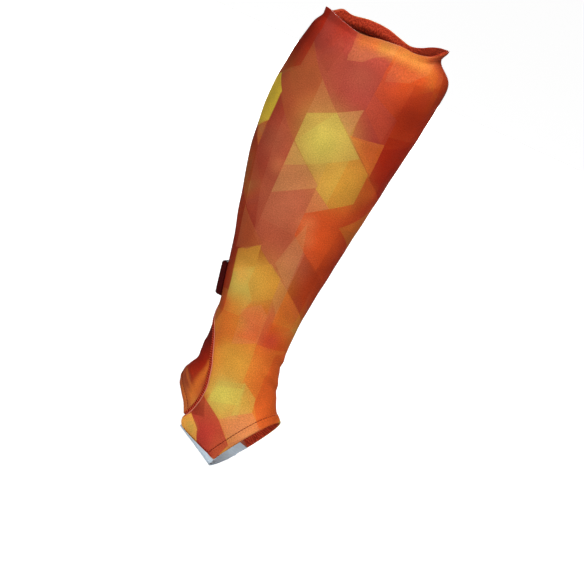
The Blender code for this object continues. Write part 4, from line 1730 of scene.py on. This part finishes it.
@dataclass
class PanelSeam:
    """The raised seam: a padded welt with overlock threads across it and a rope of thread beside it."""

    half_width: float = 0.0014
    height: float = 0.0013
    pitch: float = 0.0021
    rope_pitch: float = 0.0017
    squeeze: float = 0.10
    inset: float = 0.0004
    around: int = 12

    def welt(self, line: SurfaceLine) -> bpy.types.Object:
        """The welt: a half round carried along the seam, squeezed a little at every stitch.

        Args:
            line: The seam's line.

        Returns:
            The object.
        """
        steps = int(line.length / self.pitch * 6)
        distance = np.linspace(self.inset, line.length - self.inset, steps)[None, :]
        points, out, right = line.at(distance)
        ends = np.clip(np.minimum(distance, line.length - distance) / 0.002, 0.05, 1) ** 0.5
        size = (1 - self.squeeze * np.cos(2 * np.pi * distance / self.pitch)) * ends
        vertices, faces, uv = capped_tubes(
            points,
            out * (self.height * size)[..., None],
            right * (self.half_width * size)[..., None],
            np.ones(distance.shape),
            self.around,
        )
        cloth = np.column_stack([uv[:, 1] * 0.6 - 0.09, uv[:, 0] * 0.004 + 0.02])
        return make_object("seam_welt", vertices, faces, cloth)

    def build(self, wardrobe: Wardrobe) -> list[bpy.types.Object]:
        """Makes the welt, the threads over it and the rope of thread on its sleeve side.

        Args:
            wardrobe: The finishes.

        Returns:
            The pieces.
        """
        line = SurfaceLine(whole_edge(SEAM_ROWS, 1281), lift=-0.0004)
        welt = fit_out(self.welt(line), [wardrobe.ridge], ["panel_seam"])
        over = Stitching(
            "overlock_thread", line, self.pitch, start=(0.0, 0.0016), end=(0.0012, -0.0016),
            radius=0.00024, height=0.00012, sink=0.0,
            crown=self.height + 0.0001, crown_half=0.0019, rings=9,
        )
        rope = Stitching(
            "seam_rope", line, self.rope_pitch, start=(0.0, -0.0020), end=(0.0023, -0.0014),
            radius=0.00034, height=0.00040, sink=-0.0001,
        )
        return [welt, sew(over, wardrobe.red_thread), sew(rope, wardrobe.light_thread)]


@dataclass
class Hems:
    """The cloth turned in at the top, at the foot edge and round the heel opening, with its stitching."""

    wall: float = 0.0011
    gap: float = 0.0017
    top_depth: float = 0.62
    instep: float = 0.0082
    heel: float = 0.0046
    row_gap: float = 0.0026
    inside_rows: tuple[float, float] = (-0.44, -0.56)
    columns: int = 200

    def band(self, name: str, places: Array, wardrobe: Wardrobe, node: str) -> bpy.types.Object:
        """A turned-in band: a grid of places, set inside the cloth by its wall and a small gap.

        Args:
            name: The piece's name.
            places: Stations and angles.
            wardrobe: The finishes.
            node: The CAD node that it replaces.

        Returns:
            The piece.
        """
        station, angle = places[..., 0], places[..., 1]
        cloth = FORM.cloth_place(station, wrapped(angle))
        points = FORM.raised(station, angle, folds(cloth) + slack(cloth) - self.gap)
        if abs(angle[0, 0] + 180) < 0.001:
            points[:, -1] = points[:, 0]
        made = make_object(name, points, grid_faces(*points.shape[:2]), cloth)
        give_wall(made, self.wall, inner=0)
        return fit_out(made, [wardrobe.hem], [node])

    def aside_band(self, edge: Array, width: float, rows: int) -> Array:
        """Places of a band beside an edge, from a distance on its left to the edge itself."""
        shares = np.linspace(1, 0.04, rows + 1)
        return np.stack([FORM.moved_aside(edge, -width * share) for share in shares])

    def foot_line(self, short: float, count: int) -> Array:
        """Places along the foot edge, from some degrees short of one end to as far from the other."""
        reach = float(sole_reach(np.array([FORM.last]))[0]) - short
        return level_line(float(FORM.last), np.linspace(-reach, reach, count))

    def build(self, wardrobe: Wardrobe) -> list[bpy.types.Object]:
        """Makes the three bands and their rows of stitches.

        Args:
            wardrobe: The finishes.

        Returns:
            The pieces.
        """
        angle = np.linspace(-180, 180, self.columns + 1)
        station = np.linspace(-0.985, -1 + self.top_depth, 14)
        top = np.stack(np.broadcast_arrays(station[:, None], angle[None, :]), axis=-1)
        instep = self.aside_band(self.foot_line(14, 161), self.instep, 6)
        heel = self.aside_band(whole_edge(HEEL_RIM_ROWS)[90:-90:2], self.heel, 5)
        bands = (("top_hem", top), ("instep_hem", instep), ("heel_hem", heel))
        made = [self.band(f"{node}_cloth", places, wardrobe, node) for node, places in bands]
        return made + [sew(run, wardrobe.dark_thread) for run in self.stitches()]

    def stitches(self) -> list[Stitching]:
        """The stitch rows: two at the foot edge, one round the heel opening and two at the top edge.

        Returns:
            The runs of stitches.
        """
        foot = self.foot_line(1.5, 600)
        runs = []
        for number, inset in enumerate((self.instep, self.instep - self.row_gap), start=1):
            line = SurfaceLine(FORM.moved_aside(foot, -inset), lift=0.0)
            runs.append(Stitching(
                f"instep_stitches_{number}", line, 0.0029, start=(0.0, 0.0), end=(0.0022, 0.0),
                radius=0.00030, height=0.00030, sink=0.00018,
            ))
        rim = FORM.moved_aside(whole_edge(HEEL_RIM_ROWS), -self.heel)
        runs.append(Stitching(
            "heel_stitches", SurfaceLine(rim[24:-24], lift=-0.0001), 0.0027,
            start=(0.0, 0.0), end=(0.0020, 0.0), radius=0.00028, height=0.00030, sink=0.00016,
        ))
        angle = np.linspace(-179.9, 179.9, 1400)
        for number, station in enumerate(self.inside_rows, start=1):
            line = SurfaceLine(level_line(station, angle), lift=-self.gap - self.wall)
            runs.append(Stitching(
                f"top_inside_stitches_{number}", line, 0.0030, start=(0.0, 0.0008), end=(0.0026, -0.0008),
                radius=0.00032, height=-0.00030, sink=-0.0001,
            ))
        return runs


@dataclass
class ArchStrap(StretchedSheet):
    """The white elastic strap under the arch, with ribs along it and its ends sewn inside the sleeve."""

    flat: tuple[float, float] = (0.035, 0.085)
    flat_area: float = 0.0024
    wall: float = 0.0016
    lap: float = 0.007
    start: float = 14.05
    inside: float = 0.0017
    hang: float = 0.0034
    hang_ease: tuple[float, float] = (-0.0004, 0.0115)
    rib: float = 0.0013
    rib_height: float = 0.00010
    edge: Groove = Groove(-0.00022, 0.0012)
    rows: int = 60
    columns: int = 180

    def strap(self) -> bpy.types.Object:
        """The strap: ribs, thicker edges and a hang, all as lifts off the form.

        Ribs are a sine over the distance across the strap, each edge is a little thicker, and between the
        sleeve's two edges the strap hangs a little lower than the cloth, more towards the toes.

        Returns:
            The object.
        """
        levels = np.linspace(self.start, FORM.last, self.rows + 1)
        half = 180 - sole_reach(levels)
        lap = math.degrees(self.lap / (FORM.foot_width / 2))
        angle = 180 + (half + lap)[:, None] * np.linspace(-1, 1, self.columns + 1)
        station = np.broadcast_to(levels[:, None], angle.shape)
        across = running(FORM.place(station, angle))
        ribs = self.rib_height * np.sin(2 * np.pi * across / self.rib)
        edges = self.edge.at(across) + self.edge.at(across[-1:] - across)
        free = half[:, None] - np.abs(angle - 180)
        hang = self.hang * smooth_step(np.radians(free) * FORM.foot_width / 2, *self.hang_ease)
        hang = hang * np.linspace(0.25, 1, len(levels))[:, None]
        points = FORM.raised(station, angle, ribs - edges + hang - self.inside)
        uv = np.stack([running(points, axis=1), across], axis=-1)
        made = make_object("arch_strap", points, grid_faces(*points.shape[:2]), uv)
        give_wall(made, self.wall, inner=0)
        return made

    def build(self, wardrobe: Wardrobe) -> list[bpy.types.Object]:
        """Makes the strap and the zigzag that holds its ends.

        Args:
            wardrobe: The finishes.

        Returns:
            The pieces.
        """
        strap = fit_out(self.strap(), [wardrobe.elastic], ["stirrup_strap"])
        down = np.linspace(14.15, 15.9, 200)
        tacks = []
        for side, name in ((1, "strap_tack_left"), (-1, "strap_tack_right")):
            line = SurfaceLine(np.column_stack([down, side * (sole_reach(down) - 4.0)]), lift=0.0003)
            tacks.append(sew(Stitching(
                name, line, 0.0024, start=(0.0, -0.0008), end=(0.0014, 0.0008),
                radius=0.00026, height=0.0003, sink=0.0002,
            ), wardrobe.dark_thread))
        self.declare(strap, tacks)
        return [strap, *tacks]


@dataclass
class BackTab:
    """The thick folded tab behind the calf: flat outside, its edges rounded, its inside on the cloth."""

    height: float = 0.031
    width: float = 0.030
    stand: float = 0.0038
    lean: float = 12.0
    above_seam: float = 0.0072
    round: float = 0.0026
    pinch: float = 0.06
    stitched: float = 0.0090
    layer_line: float = 0.0112
    layers: Groove = Groove(0.00025, 0.0005)
    overlap: float = 0.0005
    inside: float = 0.0004
    steps: int = 60
    back: Array = field(init=False, repr=False)
    centre: Array = field(init=False, repr=False)
    ways: tuple[Array, Array, Array] = field(init=False, repr=False)

    def __post_init__(self) -> None:
        """Finds the plate's middle, a little above the seam on the back line, and its up, wide and out."""
        self.back = FORM.place(np.linspace(3, 8, 320), 180.0)
        seam_top = FORM.place(np.array(SEAM_ROWS[0].station), np.array(180.0))[2]
        middle = seam_top + self.above_seam + self.height / 2
        self.centre = np.array([float(self.back_at(middle)), 0, middle])
        c, s = math.cos(math.radians(self.lean)), math.sin(math.radians(self.lean))
        self.ways = np.array([-s, 0, c]), np.array([0.0, 1.0, 0.0]), np.array([-c, 0, -s])

    def back_at(self, height: Array) -> Array:
        """X of the form's back line at any heights."""
        return np.interp(-height, -self.back[:, 2], self.back[:, 0])

    def face(self, rise: Array, aside: Array) -> tuple[Array, Array]:
        """The outside: a plate whose edges turn in by a quarter of a circle and whose corners are pinched.

        Args:
            rise: Heights on the plate from its middle.
            aside: Places across it.

        Returns:
            The points, and how far each has dropped from the plate.
        """
        up, wide, out = self.ways
        edges = [
            np.clip((np.abs(place) - (size / 2 - self.round)) / self.round, 0, 1)
            for place, size in ((rise, self.height), (aside, self.width))
        ]
        turn = np.hypot(*edges)
        drop = self.round * (1 - np.sqrt(np.clip(1 - np.clip(turn, 0, 1) ** 2, 0, 1)))
        pinch = 1 - self.pinch * np.clip(turn - 1, 0, 1)
        proud = self.stand - drop - self.layers.at(np.abs(rise) - self.layer_line)
        across = up * (rise * pinch)[..., None] + wide * (aside * pinch)[..., None]
        return self.centre + across + out * proud[..., None], drop

    def lining(self, face: Array, drop: Array) -> Array:
        """The inside: the face's points, moved in onto the oval section of the calf behind them.

        Args:
            face: The outside's points.
            drop: How far each has dropped from the plate.

        Returns:
            The points.
        """
        low = face + self.ways[2] * -(self.stand + self.overlap - drop)[..., None]
        calf = FORM.table[:7]
        half, front = (np.interp(-low[..., 2], -calf[:, 1], calf[:, k]) for k in (4, 0))
        radius = self.back_at(low[..., 2])
        middle = (front + radius) / 2
        depth = np.sqrt(np.clip(1 - (low[..., 1] / half) ** 2, 0, 1))
        low[..., 0] = middle - (middle - radius) * depth + self.inside
        low[..., 0] = np.maximum(low[..., 0], face[..., 0] + self.inside)
        return low

    def block(self) -> bpy.types.Object:
        """The tab as one closed mesh: the face, the lining and a strip of quads round their edges.

        Returns:
            The object.
        """
        t = np.linspace(-1, 1, self.steps + 1)
        rise, aside = np.meshgrid(t * self.height / 2, t * self.width / 2, indexing="ij")
        face, drop = self.face(rise, aside)
        points = np.concatenate([face.reshape(-1, 3), self.lining(face, drop).reshape(-1, 3)])
        count = len(t)
        step = np.arange(count - 1)
        ring = np.concatenate([
            step, step * count + count - 1, count * count - 1 - step, (count - 1 - step) * count
        ])
        shift, after = count * count, np.roll(ring, -1)
        side = np.stack([ring, after, after + shift, ring + shift], axis=-1)
        faces = grid_faces(count, count)
        every = np.concatenate([faces, faces[:, ::-1] + shift, side])
        flat = np.stack([aside, rise], axis=-1).reshape(-1, 2)
        made = make_object("tab_block", points, every, np.concatenate([flat, flat * 1.1]))
        shape = bmesh.new()
        shape.from_mesh(made.data)
        bmesh.ops.recalc_face_normals(shape, faces=shape.faces)
        shape.to_mesh(made.data)
        shape.free()
        return made

    def build(self, wardrobe: Wardrobe) -> list[bpy.types.Object]:
        """Makes the tab and the stitches round its face.

        Args:
            wardrobe: The finishes.

        Returns:
            The pieces.
        """
        tab = fit_out(self.block(), [wardrobe.webbing], ["back_tab"])
        sides = self.height - self.stitched, self.width - self.stitched
        line = PlateLine(self.centre + self.ways[2] * self.stand, *self.ways, *sides)
        run = Stitching(
            "tab_stitches", line, 0.0024, start=(0.0, 0.0), end=(0.0018, 0.0),
            radius=0.00028, height=0.0003, sink=0.0001,
        )
        return [tab, sew(run, wardrobe.dark_thread)]


# ---- Stage, light and camera ----


@dataclass(frozen=True)
class Studio:
    """A pale floor, soft lights and a camera at the picture's viewing angle."""

    azimuth: float = 20.0
    elevation: float = 14.0
    roll: float = 25.0
    distance: float = 2.0
    target: tuple[float, float, float] = (0.0177, 0.0, 0.094)
    lens: float = 140.0
    floor_drop: float = 0.0006

    def frame_of(self, azimuth: float, elevation: float) -> tuple[Vector, Vector, Vector]:
        """The right, up and backward ways of a viewer at these angles."""
        a, e = math.radians(azimuth), math.radians(elevation)
        back = Vector((math.sin(a) * math.cos(e), -math.cos(a) * math.cos(e), math.sin(e)))
        right = Vector((math.cos(a), math.sin(a), 0.0))
        return right, back.cross(right), back

    def stand(self, data: Any, ways: Sequence[Vector], distance: float) -> bpy.types.Object:
        """An object for a camera or a light, turned to these three ways, at a distance from the target.

        Args:
            data: The camera or light.
            ways: Its right, up and backward ways.
            distance: How far back it stands.

        Returns:
            The object.
        """
        made = bpy.data.objects.new(data.name, data)
        place = Matrix(ways).transposed().to_4x4()
        place.translation = Vector(self.target) + ways[2] * distance
        made.matrix_world = place
        bpy.context.scene.collection.objects.link(made)
        return made

    def camera(self) -> None:
        """The camera, turned about its view so that the leg leans to the right."""
        right, up, back = self.frame_of(self.azimuth, self.elevation)
        turn = math.radians(self.roll)
        across = right * math.cos(turn) + up * math.sin(turn)
        above = up * math.cos(turn) - right * math.sin(turn)
        data = bpy.data.cameras.new("camera")
        data.lens = self.lens
        data.sensor_width = 36.0
        data.clip_start, data.clip_end = 0.05, 60.0
        bpy.context.scene.camera = self.stand(data, (across, above, back), self.distance)

    def light(
        self,
        name: str,
        azimuth: float,
        elevation: float,
        distance: float,
        size: float,
        power: float,
        colour: tuple[float, float, float] = (1.0, 1.0, 1.0),
    ) -> None:
        """A square soft light that faces the liner.

        Args:
            name: Its name.
            azimuth: Where it stands, round the liner, in degrees.
            elevation: And above the horizon.
            distance: From the target.
            size: Its side.
            power: In watts.
            colour: Its colour.
        """
        data = bpy.data.lights.new(name, "AREA")
        data.size = size
        data.energy = power
        data.color = colour
        self.stand(data, self.frame_of(azimuth, elevation), distance)

    def floor(self, lowest: float) -> None:
        """A pale round floor under the liner: circles of points about the middle.

        Args:
            lowest: The height of what stands on it.
        """
        turn = np.linspace(0, 2 * np.pi, 97)
        reach = np.array([0.0, 0.5, 1.0, 3.0, 9.0, 40.0])[:, None]
        x, y = reach * np.cos(turn), reach * np.sin(turn)
        z = np.full(x.shape, lowest - self.floor_drop)
        points = np.stack([x, y, z], axis=-1)
        made = make_object("floor", points, grid_faces(*x.shape), np.stack([x, y], axis=-1))
        pale = bpy.data.materials.new("pale floor")
        pale.use_nodes = True
        g = Graph(pale.node_tree)
        shader = pale.node_tree.nodes["Principled BSDF"]
        grain = g.noise(g.add("TexCoord").outputs["Object"], 30.0, 3.0)
        g.put(shader.inputs["Base Color"], g.mix(grain, (0.46, 0.46, 0.46, 1.0), (0.50, 0.50, 0.50, 1.0)))
        shader.inputs["Roughness"].default_value = 0.9
        shader.inputs["Specular IOR Level"].default_value = 0.1
        shader.inputs["Emission Color"].default_value = (1.0, 1.0, 1.0, 1.0)
        seen = g.add("LightPath").outputs["Is Camera Ray"]
        g.put(shader.inputs["Emission Strength"], g.blend(seen, 0.05, 0.96))
        made.data.materials.append(pale)
        made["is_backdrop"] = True

    def world(self) -> None:
        """A white backdrop that lights the liner less than it shows."""
        made = bpy.data.worlds.new("studio")
        made.use_nodes = True
        g = Graph(made.node_tree)
        backdrop = made.node_tree.nodes["Background"]
        seen = g.add("LightPath").outputs["Is Camera Ray"]
        g.put(backdrop.inputs["Strength"], g.blend(seen, 0.03, 1.05))
        backdrop.inputs["Color"].default_value = (1.0, 1.0, 1.0, 1.0)
        bpy.context.scene.world = made

    def build(self, lowest: float) -> None:
        """Sets the stage.

        Args:
            lowest: The height of the liner's lowest point.
        """
        self.camera()
        self.floor(lowest)
        self.world()
        self.light("key", 34, 16, 2.4, 0.6, 25.5, (1.0, 0.985, 0.96))
        self.light("fill", -28, 10, 2.6, 0.8, 23.5, (0.98, 0.99, 1.0))
        self.light("top", 50, 70, 1.5, 0.4, 13.0)
        self.light("back", 200, 6, 2.6, 0.9, 40.0)
        view = bpy.context.scene.view_settings
        view.view_transform = "Standard"
        view.look = "None"


def main() -> None:
    """Builds the liner, piece by piece, and its stage."""
    logging.basicConfig(level=logging.INFO, format="%(name)s: %(message)s")
    packed = [list(corner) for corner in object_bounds()]
    wardrobe = Wardrobe()
    sleeve, panel = Sleeve(), HeelPanel()
    sleeve_cloth = sleeve.build(wardrobe)
    heel_cloth = panel.build(wardrobe)
    seam = PanelSeam().build(wardrobe)
    hems = Hems().build(wardrobe)
    of_heel = [piece for piece in hems if piece.name.startswith("heel")]
    sleeve.declare(sleeve_cloth, seam + [piece for piece in hems if piece not in of_heel])
    panel.declare(heel_cloth, of_heel)
    ArchStrap().build(wardrobe)
    BackTab().build(wardrobe)
    shown = [list(corner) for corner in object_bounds()]
    Studio().build(min(packed[0][2], shown[0][2]))
    LOG.info("box of the packed model: %s", packed)
    LOG.info("box of the visual model: %s", shown)


if __name__ == "__main__":
    main()
